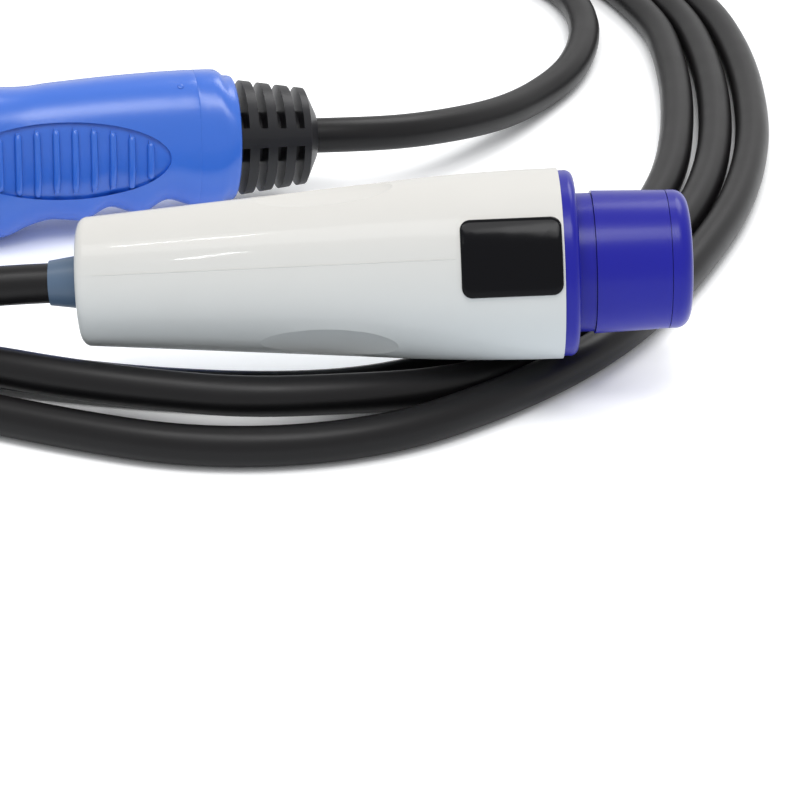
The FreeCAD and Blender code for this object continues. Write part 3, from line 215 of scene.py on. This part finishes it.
# %% Finishes by slot
FINISHES = {
    "warm_white_shell": moulded(
        "warm_white_shell", (0.61, 0.592, 0.558), 0.45,
        variation=0.012, grain=0.008, coat=0.2, coat_roughness=0.05, shine=0.12,
    ),
    "dark_blue_shell": moulded(
        "dark_blue_shell", (0.010, 0.010, 0.265), 0.30,
        variation=0.04, grain=0.01, coat=0.05, shine=0.2,
    ),
    "light_blue_shell": moulded(
        "light_blue_shell", (0.020, 0.122, 0.56), 0.42,
        variation=0.03, grain=0.04, coat=0.9, coat_roughness=0.25, shine=0.2,
    ),
    "black_plastic": moulded(
        "black_plastic", (0.010, 0.010, 0.012), 0.45, variation=0.06, grain=0.03, shine=0.3
    ),
    "black_gloss": moulded(
        "black_gloss", (0.002, 0.002, 0.003), 0.12, variation=0.02, grain=0, shine=0.10
    ),
    "grey_gland": moulded(
        "grey_gland", (0.080, 0.122, 0.185), 0.40, variation=0.04, coat=0.05, shine=0.3
    ),
    "black_rubber": moulded(
        "black_rubber", (0.005, 0.005, 0.007), 0.40, variation=0.10, grain=0.06, shine=0.30
    ),
    "cable_sheath": moulded(
        "cable_sheath", (0.005, 0.0045, 0.005), 0.38, variation=0.14, grain=0.10, shine=0.22
    ),
    "plated_contact": metal("plated_contact", (0.80, 0.79, 0.76), 0.18),
    "steel_screw": metal("steel_screw", (0.56, 0.56, 0.57), 0.30),
    "wire_brown": moulded("wire_brown", (0.090, 0.035, 0.015), 0.40),
    "wire_blue": moulded("wire_blue", (0.010, 0.040, 0.30), 0.40),
    "wire_green": moulded("wire_green", (0.030, 0.20, 0.020), 0.40),
    "wire_white": moulded("wire_white", (0.62, 0.62, 0.60), 0.40, variation=0.03),
    "resistor_beige": moulded("resistor_beige", (0.45, 0.32, 0.15), 0.45),
}
for part in frame["record"]["subparts"]:
    mesh = frame["nodes"][part["node"]].data
    mesh.materials.clear()
    mesh.materials.append(FINISHES[part["material_slot"]])

# %% [markdown]
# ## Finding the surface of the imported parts
#
# Small pieces lie on the housings. Rather than repeating the housings' sizes, a ray is sent from
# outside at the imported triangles, and the piece takes its place from where the ray lands.

# %% Surface finder
RAY_START = 0.08


def surface_of(*names):
    """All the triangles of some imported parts, ready to be asked where a ray meets them."""
    vertices, faces = [], []
    for name in names:
        mesh = frame["nodes"][name].data
        first = len(vertices)
        vertices += [vertex.co.copy() for vertex in mesh.vertices]
        faces += [[first + i for i in polygon.vertices] for polygon in mesh.polygons]
    print(len(faces), "triangles in the surface of", ", ".join(names))
    return BVHTree.FromPolygons(vertices, faces)


def landing(surface, place, x, z, side):
    """Where a ray along a housing's Y meets its surface, at local x and z. side is 1 or -1."""
    start = place @ Vector((x, side * RAY_START, z))
    towards = (place.to_3x3() @ Vector((0, -side, 0))).normalized()
    return surface.ray_cast(start, towards)[0]


PLUG_SURFACE = surface_of("plug_shell_upper", "plug_shell_lower")
HANDLE_SURFACE = surface_of("handle_shell_left", "handle_shell_right")

# %% [markdown]
# ## Pieces built from rings
#
# The label, the collar and the stud are each a stack of rings with the same count of points.
# Neighbouring rings are joined with four-sided faces. A stack is either capped at both ends, or
# its last ring joins its first, as on a hoop. All of them stay at the origin and ride on the body.


# %% Stacked rings
def stacked_faces(rings, around, hoop=False):
    """The faces of a stack of rings of points."""
    faces = []
    for ring in range(rings if hoop else rings - 1):
        here, there = ring * around, (ring + 1) % rings * around
        for i in range(around):
            beside = (i + 1) % around
            faces.append((here + i, here + beside, there + beside, there + i))
    if not hoop:
        faces.append([(rings - 1) * around + i for i in range(around)])
        faces.append([around - 1 - i for i in range(around)])
    return faces


def on_body(name, mesh):
    """An object at the origin for a finished mesh. It rides on the body."""
    piece = bpy.data.objects.new(name, mesh)
    bpy.context.collection.objects.link(piece)
    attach(piece, "body")
    print(name, "has", len(mesh.polygons), "faces")
    return piece


def ring_piece(name, vertices, faces, slot):
    """A smooth mesh on the body, with the finish of a slot."""
    mesh = bpy.data.meshes.new(name)
    mesh.from_pydata([tuple(vertex) for vertex in vertices], [], faces)
    mesh.validate()
    mesh.polygons.foreach_set("use_smooth", [True] * len(mesh.polygons))
    mesh.materials.append(FINISHES[slot])
    return on_body(name, mesh)


# %% [markdown]
# ## Bars that follow a path
#
# Two things on the housings are thin round bars laid along a path: the fine line where the plug's
# halves meet, and the grip ribs in the handle's oval recess. They could be modelled one by one,
# but one Geometry Nodes tree makes both. It takes chains of edges, turns them into curves and
# sweeps a circle along them. The circle shrinks on a quarter circle towards each end, so that a
# rib ends round.


# %% Node helper
def step(tree, kind, inputs, **settings):
    """Adds a node. Its inputs are given by name or number, as a value or as another's output."""
    node = tree.nodes.new(kind)
    for title, value in settings.items():
        setattr(node, title, value)
    for key, value in inputs.items():
        if isinstance(value, bpy.types.NodeSocket):
            tree.links.new(value, node.inputs[key])
        else:
            node.inputs[key].default_value = value
    return node


def sum_of(tree, operation, *values):
    """One Math node's result."""
    return step(tree, "ShaderNodeMath", dict(enumerate(values)), operation=operation).outputs[0]


# %% Bar tree
CIRCLE_POINTS = 10
SIZE_SOCKETS = {
    "Bar Radius": "NodeSocketFloat",
    "Rounded Share": "NodeSocketFloat",
    "Steps": "NodeSocketInt",
    "Finish": "NodeSocketMaterial",
}


def end_taper(tree, rounded_share):
    """1 along the middle of a bar, falling to 0 at its ends on a quarter circle."""
    along = step(tree, "GeometryNodeSplineParameter", {}).outputs["Factor"]
    outward = sum_of(tree, "ABSOLUTE", sum_of(tree, "SUBTRACT", along, 0.5))
    start = sum_of(tree, "SUBTRACT", 0.5, rounded_share)
    past = step(
        tree, "ShaderNodeMapRange", {"Value": outward, "From Min": start, "From Max": 0.5}
    ).outputs["Result"]
    squared = sum_of(tree, "POWER", past, 2.0)
    return sum_of(tree, "SQRT", sum_of(tree, "SUBTRACT", 1.0, squared))


def bar_tree():
    """Chains of edges in, swept bars out."""
    tree = bpy.data.node_groups.new("bars_on_paths", "GeometryNodeTree")
    sockets = tree.interface
    sockets.new_socket("Paths", in_out="INPUT", socket_type="NodeSocketGeometry")
    for title, kind in SIZE_SOCKETS.items():
        sockets.new_socket(title, in_out="INPUT", socket_type=kind)
    sockets.new_socket("Bars", in_out="OUTPUT", socket_type="NodeSocketGeometry")
    given = step(tree, "NodeGroupInput", {}).outputs
    chains = step(tree, "GeometryNodeMeshToCurve", {"Mesh": given["Paths"]})
    steps = step(
        tree, "GeometryNodeResampleCurve",
        {"Curve": chains.outputs["Curve"], "Count": given["Steps"]},
    )
    circle = step(
        tree, "GeometryNodeCurvePrimitiveCircle",
        {"Resolution": CIRCLE_POINTS, "Radius": given["Bar Radius"]},
    )
    sweep = step(tree, "GeometryNodeCurveToMesh", {
        "Curve": steps.outputs["Curve"],
        "Profile Curve": circle.outputs["Curve"],
        "Scale": end_taper(tree, given["Rounded Share"]),
        "Fill Caps": True,
    })
    smooth = step(tree, "GeometryNodeSetShadeSmooth", {"Geometry": sweep.outputs["Mesh"]})
    whole = step(tree, "GeometryNodeRealizeInstances", {"Geometry": smooth.outputs["Geometry"]})
    finished = step(
        tree, "GeometryNodeSetMaterial",
        {"Geometry": whole.outputs["Geometry"], "Material": given["Finish"]},
    )
    step(tree, "NodeGroupOutput", {"Bars": finished.outputs["Geometry"]})
    return tree


BARS = bar_tree()
print("the bar tree has", len(BARS.nodes), "nodes")

# %% [markdown]
# The tree is run through a modifier on an object that holds only the paths. Its inputs are set by
# their identifiers, the result is kept as a plain mesh, and the object with the modifier goes.


# %% Running the tree
def bars(name, paths, slot, radius, rounded_share, steps):
    """Sweeps a bar along each chain of points and keeps the result as a plain mesh on the body."""
    vertices, edges = [], []
    for path in paths:
        first = len(vertices)
        vertices += [tuple(spot) for spot in path]
        edges += [(first + i, first + i + 1) for i in range(len(path) - 1)]
    chains = bpy.data.meshes.new(name + "_paths")
    chains.from_pydata(vertices, edges, [])
    maker = bpy.data.objects.new(name + "_maker", chains)
    bpy.context.collection.objects.link(maker)
    modifier = maker.modifiers.new("bars", "NODES")
    modifier.node_group = BARS
    values = dict(zip(SIZE_SOCKETS, (radius, rounded_share, steps, FINISHES[slot])))
    for item in BARS.interface.items_tree:
        if item.name in values:
            modifier[item.identifier] = values[item.name]
    evaluated = maker.evaluated_get(bpy.context.evaluated_depsgraph_get())
    mesh = bpy.data.meshes.new_from_object(evaluated)
    mesh.name = name
    bpy.data.objects.remove(maker)
    return on_body(name, mesh)


# %% [markdown]
# ## The line where the plug's halves meet
#
# The white housing is moulded in two halves, and a hair-fine line shows between them. A groove
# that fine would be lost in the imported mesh, so it is a hair-thin bar, half sunk into the surface.
# On the viewer's flank it runs from the rear shoulder to the label, and on the far flank to the
# dark blue front. The rays go a hair above the parting plane, where they can't slip between the
# halves.

# %% Parting line
HAIR = 0.00001
LINE_REAR, LINE_LABEL, LINE_FRONT = 0.018, 0.1605, 0.1975
LINE_SPOTS, LINE_STEPS, LINE_RADIUS, LINE_ROUNDED = 40, 90, 0.00016, 0.02

lines = []
for side, front in ((-1, LINE_LABEL), (1, LINE_FRONT)):
    pace = (front - LINE_REAR) / LINE_SPOTS
    reaches = [LINE_REAR + pace * i for i in range(LINE_SPOTS + 1)]
    lines.append([landing(PLUG_SURFACE, PLUG, x, HAIR, side) for x in reaches])
bars("plug_parting_line", lines, "warm_white_shell", LINE_RADIUS, LINE_ROUNDED, LINE_STEPS)

# %% [markdown]
# ## The label
#
# The label is a thick piece of clear plastic over black, domed at its edge, so that its rim
# catches the light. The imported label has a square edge. Here, rings of a rounded rectangle step
# inwards while they rise, as the dome does, and each is wrapped round the housing. The real one
# is printed. This one is bare.

# %% The label's outline
packed_label = frame["nodes"]["plug_label"].data
label_spots = [PLUG.inverted() @ vertex.co for vertex in packed_label.vertices]
label_x = [min(spot.x for spot in label_spots), max(spot.x for spot in label_spots)]
label_z = [min(spot.z for spot in label_spots), max(spot.z for spot in label_spots)]
LABEL_CORNER, SMALLEST_CORNER = 0.004, 0.0002
CORNER_STEPS, SIDE_STEPS = 8, 12
CORNER_SIGNS = ((1, 1), (-1, 1), (-1, -1), (1, -1))


def rounded_ring(inset):
    """The label's outline, set in, as local (x, z) spots. Every ring has the same count."""
    corner = max(LABEL_CORNER - inset, SMALLEST_CORNER)
    reach_x = (label_x[1] - label_x[0]) / 2 - inset - corner
    reach_z = (label_z[1] - label_z[0]) / 2 - inset - corner

    def on_corner(quarter, degrees):
        sign_x, sign_z = CORNER_SIGNS[quarter % 4]
        turn = math.radians(degrees)
        return (sum(label_x) / 2 + sign_x * reach_x + corner * math.cos(turn),
                sum(label_z) / 2 + sign_z * reach_z + corner * math.sin(turn))

    spots = []
    for quarter in range(4):
        first = 90 * quarter
        turns = [first + 90 * i / CORNER_STEPS for i in range(CORNER_STEPS + 1)]
        spots += [on_corner(quarter, degrees) for degrees in turns]
        last, after = spots[-1], on_corner(quarter + 1, first + 90)
        for i in range(1, SIDE_STEPS):
            spots.append(tuple(a + (b - a) * i / SIDE_STEPS for a, b in zip(last, after)))
    return spots


print("label outline, mm:", [round(value * 1000, 2) for value in label_x + label_z])

# %% The label's dome
LABEL_THICKNESS, LABEL_SINK = 0.00125, -0.0003
DOME = [
    # Inset in metres, and share of the thickness reached there
    (0, 0.35), (0.00012, 0.62), (0.00035, 0.82), (0.0007, 0.93), (0.0013, 0.985),
    (0.0022, 1), (0.005, 1), (0.008, 1), (0.011, 1), (0.0145, 1),
]


def on_label(x, z, height):
    """A spot over the housing's curved side, raised by height."""
    surface = landing(PLUG_SURFACE, PLUG, x, HAIR, -1)
    radius = height - (PLUG.inverted() @ surface).y
    return PLUG @ Vector((x, -math.sqrt(radius**2 - z**2), z))


vertices = [on_label(x, z, LABEL_SINK) for x, z in rounded_ring(0)]
around = len(vertices)
for inset, share in DOME:
    vertices += [on_label(x, z, share * LABEL_THICKNESS) for x, z in rounded_ring(inset)]
label = ring_piece("label_domed", vertices, stacked_faces(len(DOME) + 1, around), "black_gloss")
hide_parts("plug_label")

# %% [markdown]
# ## The handle's rear collar
#
# At the boot the blue handle keeps its full height almost to the end, then steps down to a rolled
# rim that just laps over the rubber. A hoop of soft-cornered sections makes this rim and step over
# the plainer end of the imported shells. A section's fullness is 2 for an ellipse, and more for
# squarer corners.

# %% Collar
BOOT_END, COLLAR_AROUND = 0.040, 72
COLLAR = [
    # In mm: reach from the boot's end, height above and below the axis, half width; fullness
    (-2.2, 26.3, 26.3, 26.3, 2.0), (-2.3, 27.1, 27.1, 27.1, 2.0), (-1.7, 27.8, 27.8, 27.6, 2.0),
    (-0.6, 28.1, 28.1, 27.8, 2.05), (1.2, 28.2, 28.2, 27.7, 2.15), (2.6, 28.7, 28.6, 27.5, 2.25),
    (4.2, 30.1, 29.5, 27.1, 2.35), (5.8, 30.9, 30.1, 26.6, 2.42), (8.5, 31.0, 30.3, 26.0, 2.5),
    (12, 30.95, 30.25, 25.5, 2.5), (15, 30.9, 30.1, 25.15, 2.5), (17, 30.5, 29.4, 24.7, 2.5),
    # The inner side, hidden in the shells
    (15, 28, 27.5, 23, 2.5), (4, 26.6, 26.6, 26.0, 2.2),
]


def soft_section(reach, rise, drop, width, fullness):
    """A ring of points on a superellipse round the connector's axis."""
    points = []
    for i in range(COLLAR_AROUND):
        turn = 2 * math.pi * i / COLLAR_AROUND
        cos, sin = math.cos(turn), math.sin(turn)
        y = math.copysign(width * abs(cos) ** (2 / fullness), cos)
        z = math.copysign((rise if sin > 0 else drop) * abs(sin) ** (2 / fullness), sin)
        points.append(CONNECTOR @ Vector((BOOT_END + reach / 1000, y / 1000, z / 1000)))
    return points


vertices = [point for section in COLLAR for point in soft_section(*section)]
faces = stacked_faces(len(COLLAR), COLLAR_AROUND, hoop=True)
ring_piece("handle_rear_collar", vertices, faces, "light_blue_shell")

# %% [markdown]
# ## The grip ribs
#
# Ten ribs stand in the oval recess on each flank. Their ends are round, and their lengths follow
# the oval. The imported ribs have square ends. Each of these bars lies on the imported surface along
# its own upright path and stands a little proud of it. A spot where the ray falls past the flank
# is left out.

# %% Grip ribs
RECESS_X, RIB_PITCH, RIB_COUNT = 0.1154, 0.0083, 10
RIB_MIDDLE, RIB_HALF, OVAL_REACH = -0.0088, 0.0152, 0.0445
RIB_RADIUS, RIB_SINK, RIB_ROUNDED, RIB_STEPS = 0.0016, 0.0007, 0.09, 22
HALF_SPOTS, DEEPEST = 8, 0.006


def rib_path(offset, side):
    """The spots under one rib, at an offset along the handle from the recess's middle."""
    half = RIB_HALF * math.sqrt(1 - (offset / OVAL_REACH) ** 2)
    heights = [RIB_MIDDLE + half * (j / HALF_SPOTS - 1) for j in range(2 * HALF_SPOTS + 1)]
    spots = [landing(HANDLE_SURFACE, CONNECTOR, RECESS_X + offset, z, side) for z in heights]
    outward = CONNECTOR.to_3x3() @ Vector((0, side, 0))
    middle = spots[HALF_SPOTS]
    near = [spot for spot in spots if (middle - spot).dot(outward) < DEEPEST]
    return [spot - outward * RIB_SINK for spot in near]


offsets = [(i - (RIB_COUNT - 1) / 2) * RIB_PITCH for i in range(RIB_COUNT)]
ribs = [rib_path(offset, side) for side in (-1, 1) for offset in offsets]
bars("handle_grip_ribs", ribs, "light_blue_shell", RIB_RADIUS, RIB_ROUNDED, RIB_STEPS)

# %% [markdown]
# ## The small stud on the handle
#
# A little round stud stands on the handle's upper side, 23 mm from where the blue ends. It may be
# the mark of the mould's gate, or a sealing plug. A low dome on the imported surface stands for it.
# Three rays tell which way the surface faces there.

# %% Stud
STUD_X, STUD_Z, STUD_STEP = 0.0633, 0.0235, 0.002
STUD_RADIUS, STUD_RISE, STUD_SINK, STUD_AROUND = 0.0014, 0.0005, 0.001, 16
STUD_RINGS = [
    # Share of the radius, and height over the surface
    (1, -STUD_SINK), (1, 0.3 * STUD_RISE), (0.85, 0.7 * STUD_RISE), (0.5, 0.95 * STUD_RISE),
]
centre = landing(HANDLE_SURFACE, CONNECTOR, STUD_X, STUD_Z, 1)
beside = landing(HANDLE_SURFACE, CONNECTOR, STUD_X + STUD_STEP, STUD_Z, 1)
below = landing(HANDLE_SURFACE, CONNECTOR, STUD_X, STUD_Z - STUD_STEP, 1)
along = (beside - centre).normalized()
normal = along.cross(below - centre).normalized()
if normal.dot(CONNECTOR.to_3x3() @ Vector((0, 1, 0))) < 0:
    normal = -normal
across = normal.cross(along)

vertices = []
for share, rise in STUD_RINGS:
    for i in range(STUD_AROUND):
        turn = 2 * math.pi * i / STUD_AROUND
        flat = (along * math.cos(turn) + across * math.sin(turn)) * share * STUD_RADIUS
        vertices.append(centre + flat + normal * rise)
faces = stacked_faces(len(STUD_RINGS), STUD_AROUND)
ring_piece("handle_stud", vertices, faces, "light_blue_shell")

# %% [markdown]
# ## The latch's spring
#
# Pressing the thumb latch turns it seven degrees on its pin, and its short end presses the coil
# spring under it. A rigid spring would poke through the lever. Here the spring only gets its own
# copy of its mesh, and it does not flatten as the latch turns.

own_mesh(frame["nodes"]["latch_spring"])

# %% [markdown]
# ## The free cable
#
# One cable runs from the plug's gland, nearly three and a half times round the coil, and back into
# the connector's boot. A circle would do for a drawing, but a real coil is uneven, and its passes
# push each other aside and cross. So the coil is given by stations round its middle: an angle that
# falls with each pass, a reach and a height. Where a pass rides over another its height rises by
# the cable's thickness. Three passes lie side by side on the right. In the solids the leads and
# the bundle are three pieces, which this one cable replaces.

# %% Cable route
COIL_MIDDLE = (-0.085, 1.220)
GLAND_POINTS = (0.002, -0.030)
BOOT_POINTS = (-0.016, 0.003)
FIRST_POINT = (-0.212, 0.964, 0.040)
STATIONS = [
    # From the plug, over the other passes on the left and the far side
    (235, 294, 31), (226, 298, 26), (217, 298, 25), (208, 296.9, 24.5), (199, 291.9, 24.5),
    (189, 287.9, 24.5), (178, 286.9, 24.5), (167, 287.9, 24.5), (156, 289.9, 24.5),
    (145, 293.9, 24.5), (134, 297.9, 24.5), (123, 303.9, 24.5), (111.9, 309, 24.5),
    (100.9, 314.1, 24.5), (90.9, 318.1, 24.5), (81.9, 319.2, 25), (73.9, 319.3, 25),
    (65.9, 319.4, 24.5), (57.9, 321.5, 20), (49.9, 313.6, 13), (42, 301.6, 8.5),
    # Down the right as the outer pass, and along the front on the table
    (34, 289.9, 8), (27, 280.7, 8), (19, 269.6, 8), (11, 261.2, 8), (3, 255.8, 8), (-6, 253.3, 8),
    (-15, 253.1, 8), (-24, 255.8, 8), (-33, 260.4, 8), (-42, 269.6, 8), (-50, 280.8, 8),
    (-58, 291.9, 8), (-65.9, 302.1, 8), (-73.9, 312.9, 8), (-81.9, 315.5, 8), (-89.9, 311.9, 8),
    (-98, 302, 8), (-106, 295.1, 8),
    # Second time round, outermost on the left and middle on the right
    (-116, 298.1, 8), (-126, 303, 8), (-137, 308, 8), (-148, 306, 8), (-159, 301.1, 8),
    (-170, 297.1, 8), (-181, 296.2, 8), (-192.1, 297.3, 8), (-203, 299.4, 8), (-214, 303.5, 8),
    (-225, 307.6, 8), (-236, 313.7, 8), (-247, 319.7, 8), (-258, 325.7, 8), (-268, 328.7, 8),
    (-277, 327.8, 8), (-285.9, 320.8, 8), (-293.9, 311.8, 8), (-301.9, 302.5, 8),
    (-309.9, 297.1, 8), (-317.9, 285, 8), (-325.9, 272.6, 8), (-332.9, 263.4, 8),
    (-340.9, 251.9, 8), (-348.9, 243.6, 8), (-356.9, 238.2, 8), (-366, 235.7, 8), (-375, 236.1, 8),
    (-384, 238.8, 8), (-393, 242.9, 8), (-402, 251.9, 8), (-410, 263, 8), (-418, 273, 8),
    (-425, 284.5, 8), (-431, 290.4, 12.1), (-437, 293.5, 16.5), (-445, 294.5, 18.9),
    (-452, 289, 19.8), (-460, 283.5, 20.2), (-467, 278.5, 19.5), (-475, 279.1, 14.9),
    (-484, 284.1, 9.2),
    # Third time round, one lane further in
    (-494, 289.1, 8), (-505, 290.1, 8), (-516, 286.1, 8), (-527.9, 281.1, 8), (-539.9, 279, 8),
    (-551.9, 280, 8), (-563.9, 282.9, 8), (-574.9, 286.8, 8), (-585.9, 291.7, 8),
    (-596.9, 297.6, 8), (-607.9, 303.6, 8), (-618.9, 308.5, 8), (-628.9, 310.3, 8),
    (-637.9, 308.2, 8), (-645.9, 303, 8), (-653.9, 295.9, 8), (-661.9, 282.9, 8),
    (-669.9, 279.4, 8), (-677.9, 267.5, 8), (-685.9, 255.3, 8), (-692.9, 246, 8),
    (-700.9, 233.9, 8), (-708.8, 225.5, 8), (-716.8, 220, 8), (-725.8, 217.3, 8),
    (-734.9, 218.1, 8), (-743.9, 220.6, 8), (-752.9, 224.8, 8), (-762, 233.6, 8),
    (-770.1, 244.3, 8), (-778.2, 255, 8), (-786.3, 270.4, 8), (-794.3, 274.9, 8),
    (-802.3, 271.9, 8), (-811.4, 266.4, 8), (-820.4, 262.8, 8), (-830.4, 262.2, 8),
    (-842.3, 266.6, 8),
    # Last time round the left and the far side, innermost
    (-854.3, 270, 8), (-866.3, 271.3, 8), (-878.2, 265.4, 8), (-890.2, 261.6, 8),
    (-902.1, 261.6, 8), (-914.1, 262.6, 8), (-926, 265.6, 8), (-938, 269.5, 8), (-950, 274.4, 8),
    (-962, 279.3, 8), (-974, 283.2, 8), (-985, 285.1, 8), (-996, 282, 8),
]
LAST_POINTS = [
    (8, 1471, 8), (47, 1444, 8), (76, 1412, 8), (92, 1378, 8), (96.5, 1340, 8), (92, 1303, 8),
    (82, 1272, 8), (66, 1243, 9), (48, 1213, 13.5), (24, 1184, 20.5), (0, 1163.5, 26),
]


def coil_point(angle, reach, height):
    """A place from an angle in degrees round the coil's middle, and a reach and height in mm."""
    turn = math.radians(angle)
    x = COIL_MIDDLE[0] + reach / 1000 * math.cos(turn)
    y = COIL_MIDDLE[1] + reach / 1000 * math.sin(turn)
    return on_table(x, y, height / 1000)


route = [PLUG @ Vector((x, 0, 0)) for x in GLAND_POINTS]
route.append(on_table(*FIRST_POINT))
route += [coil_point(*station) for station in STATIONS]
route += [on_table(x / 1000, y / 1000, z / 1000) for x, y, z in LAST_POINTS]
route += [CONNECTOR @ Vector((x, 0, 0)) for x in BOOT_POINTS]
print("the cable's route has", len(route), "points")

# %% [markdown]
# A curve with a round bevel is the natural cable, because its thickness stays even whatever the
# route does. A NURBS spline smooths the stations without running through each of them, as stiff
# rubber does.

# %% Cable
CABLE_RADIUS, CABLE_LENGTH = 0.008, 6.7
curve = bpy.data.curves.new("free_cable", "CURVE")
curve.dimensions = "3D"
curve.bevel_depth = CABLE_RADIUS
curve.bevel_resolution = 8
curve.resolution_u = 6
curve.use_fill_caps = True
spline = curve.splines.new("NURBS")
spline.points.add(len(route) - 1)
for point, place in zip(spline.points, route):
    point.co = (*place, 1)
spline.order_u = 3
spline.use_endpoint_u = True
curve.materials.append(FINISHES["cable_sheath"])
cable = bpy.data.objects.new("free_cable", curve)
bpy.context.collection.objects.link(cable)
print("its spline is", round(spline.calc_length(), 3), "m long")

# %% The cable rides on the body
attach(cable, "body")
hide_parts("cable_plug_lead", "cable_coil", "cable_handle_lead")

# %% [markdown]
# ## The table
#
# A plain pale floor runs under and behind the object. It glows a little, so that it stays white,
# except close under things, where ambient occlusion takes the glow away and leaves their contact
# dark. The camera and reflections see it neutral. The light that leaves it for the object is
# slightly cool, which gives the white housing its cooler underside.

# %% Floor
FLOOR_SIZE, FLOOR_MIDDLE = 8, (0, 1.5, 0)
FLOOR_ROUGHNESS, FLOOR_SHINE = 0.8, 0.1
FLOOR_GLOW, CONTACT_REACH, CONTACT_SAMPLES = 0.42, 0.03, 8
FLOOR_TINTS = {
    # The shader's socket: the colour that lights the object, and the colour that is seen
    "Base Color": ((0.74, 0.84, 0.95, 1), (0.90, 0.90, 0.90, 1)),
    "Emission Color": ((0.82, 0.93, 1.0, 1), (1, 1, 1, 1)),
}
bpy.ops.mesh.primitive_plane_add(size=FLOOR_SIZE, location=FLOOR_MIDDLE)
floor = bpy.context.object
floor.name = "floor"
floor_material, tree, shader = new_material("floor_white")
shader.inputs["Roughness"].default_value = FLOOR_ROUGHNESS
shader.inputs["Specular IOR Level"].default_value = FLOOR_SHINE
rays = step(tree, "ShaderNodeLightPath", {}).outputs
seen = sum_of(tree, "MAXIMUM", rays["Is Camera Ray"], rays["Is Glossy Ray"])
for socket, (cool, neutral) in FLOOR_TINTS.items():
    tint = step(tree, "ShaderNodeMix", {}, data_type="RGBA")
    tint.inputs["A"].default_value = cool
    tint.inputs["B"].default_value = neutral
    tree.links.new(seen, tint.inputs["Factor"])
    tree.links.new(tint.outputs["Result"], shader.inputs[socket])
openness = step(
    tree, "ShaderNodeAmbientOcclusion", {"Distance": CONTACT_REACH}, samples=CONTACT_SAMPLES
)
glow = sum_of(tree, "MULTIPLY", openness.outputs["AO"], FLOOR_GLOW)
tree.links.new(glow, shader.inputs["Emission Strength"])
floor.data.materials.append(floor_material)
floor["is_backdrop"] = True
print("the floor is", FLOOR_SIZE, "m wide")

# %% [markdown]
# ## The world
#
# The camera, reflections and clear materials see the world as plain white. As light on the object
# it is only a dim cool fill, so that the lamps still shape it.

# %% World
FILL_COLOUR, FILL_STRENGTH = (0.94, 0.97, 1.0, 1), 0.55
scene = bpy.context.scene
world = bpy.data.worlds.new("studio")
scene.world = world
world.use_nodes = True
tree = world.node_tree
tree.nodes.clear()
rays = step(tree, "ShaderNodeLightPath", {}).outputs
shown = rays["Is Camera Ray"]
for ray in ("Is Glossy Ray", "Is Transmission Ray"):
    shown = sum_of(tree, "MAXIMUM", shown, rays[ray])
fill = step(tree, "ShaderNodeBackground", {"Color": FILL_COLOUR, "Strength": FILL_STRENGTH})
white = step(tree, "ShaderNodeBackground", {"Color": (1, 1, 1, 1), "Strength": 1.0})
blend = step(tree, "ShaderNodeMixShader", {
    "Fac": shown, 1: fill.outputs["Background"], 2: white.outputs["Background"],
})
step(tree, "ShaderNodeOutputWorld", {"Surface": blend.outputs["Shader"]})
print("world fill is", FILL_STRENGTH)

# %% [markdown]
# ## The lamps
#
# All are flat rectangles, which give soft edges. The key lamp hangs above and towards the viewer.
# The handle lamp stands where the blue handle mirrors it as a broad band. The rim lamp picks out
# the passes on the right. The two narrow glint lamps stand where the white housing mirrors them
# to the camera as two short bright marks.

# %% Lamps
LAMPS = {
    # Place, where it aims, width, depth and power in watts
    "key_lamp": ((-0.15, -0.35, 1.45), (0, 0, 0), 1.1, 0.5, 9),
    "handle_lamp": ((0.28, -0.45, 1.0), (-0.12, 0.05, 0.05), 0.40, 0.30, 2.2),
    "rim_lamp": ((0.6, 0.9, 1.2), (0, 0.1, 0), 0.7, 0.7, 8),
    "glint_lamp_1": ((-0.22, -0.13, 1.0), (0, -0.08, 0.1), 0.014, 0.12, 0.4),
    "glint_lamp_2": ((-0.245, -0.668, 1.0), (0, -0.08, 0.1), 0.014, 0.14, 0.4),
}
for name, (place, target, width, depth, power) in LAMPS.items():
    light = bpy.data.lights.new(name, "AREA")
    light.shape = "RECTANGLE"
    light.size, light.size_y, light.energy = width, depth, power
    lamp = bpy.data.objects.new(name, light)
    lamp.location = place
    aim = Vector(target) - Vector(place)
    lamp.rotation_euler = aim.to_track_quat("-Z", "Y").to_euler()
    bpy.context.collection.objects.link(lamp)
    lamp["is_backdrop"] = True
print(len(LAMPS), "lamps, together", round(sum(row[-1] for row in LAMPS.values()), 1), "W")

# %% [markdown]
# ## The camera
#
# The photograph was taken from close above the table, with a long lens, looking down at a slant.
# The focal length in picture points and the height over the table come from how the cable and the
# housings shrink with distance.

# %% Camera
FOCAL_POINTS, PICTURE_POINTS, SENSOR_WIDTH = 2750, 800, 36
EYE_HEIGHT, LOOKS_DOWN = 0.540, 29.4
camera_data = bpy.data.cameras.new("camera")
camera_data.sensor_width = SENSOR_WIDTH
camera_data.lens = SENSOR_WIDTH * FOCAL_POINTS / PICTURE_POINTS
camera_data.clip_end = 50
camera = bpy.data.objects.new("camera", camera_data)
camera.location = on_table(0, 0, EYE_HEIGHT)
camera.rotation_euler = (math.radians(90 - LOOKS_DOWN), 0, 0)
bpy.context.collection.objects.link(camera)
scene.camera = camera
scene.view_settings.view_transform = "Standard"
print("lens", round(camera_data.lens, 1), "mm on a", SENSOR_WIDTH, "mm sensor")

# %% [markdown]
# ## The end
#
# The object's size is printed once more, now with the cable.

# %% Finish
show_corners("the dressed part reaches from")
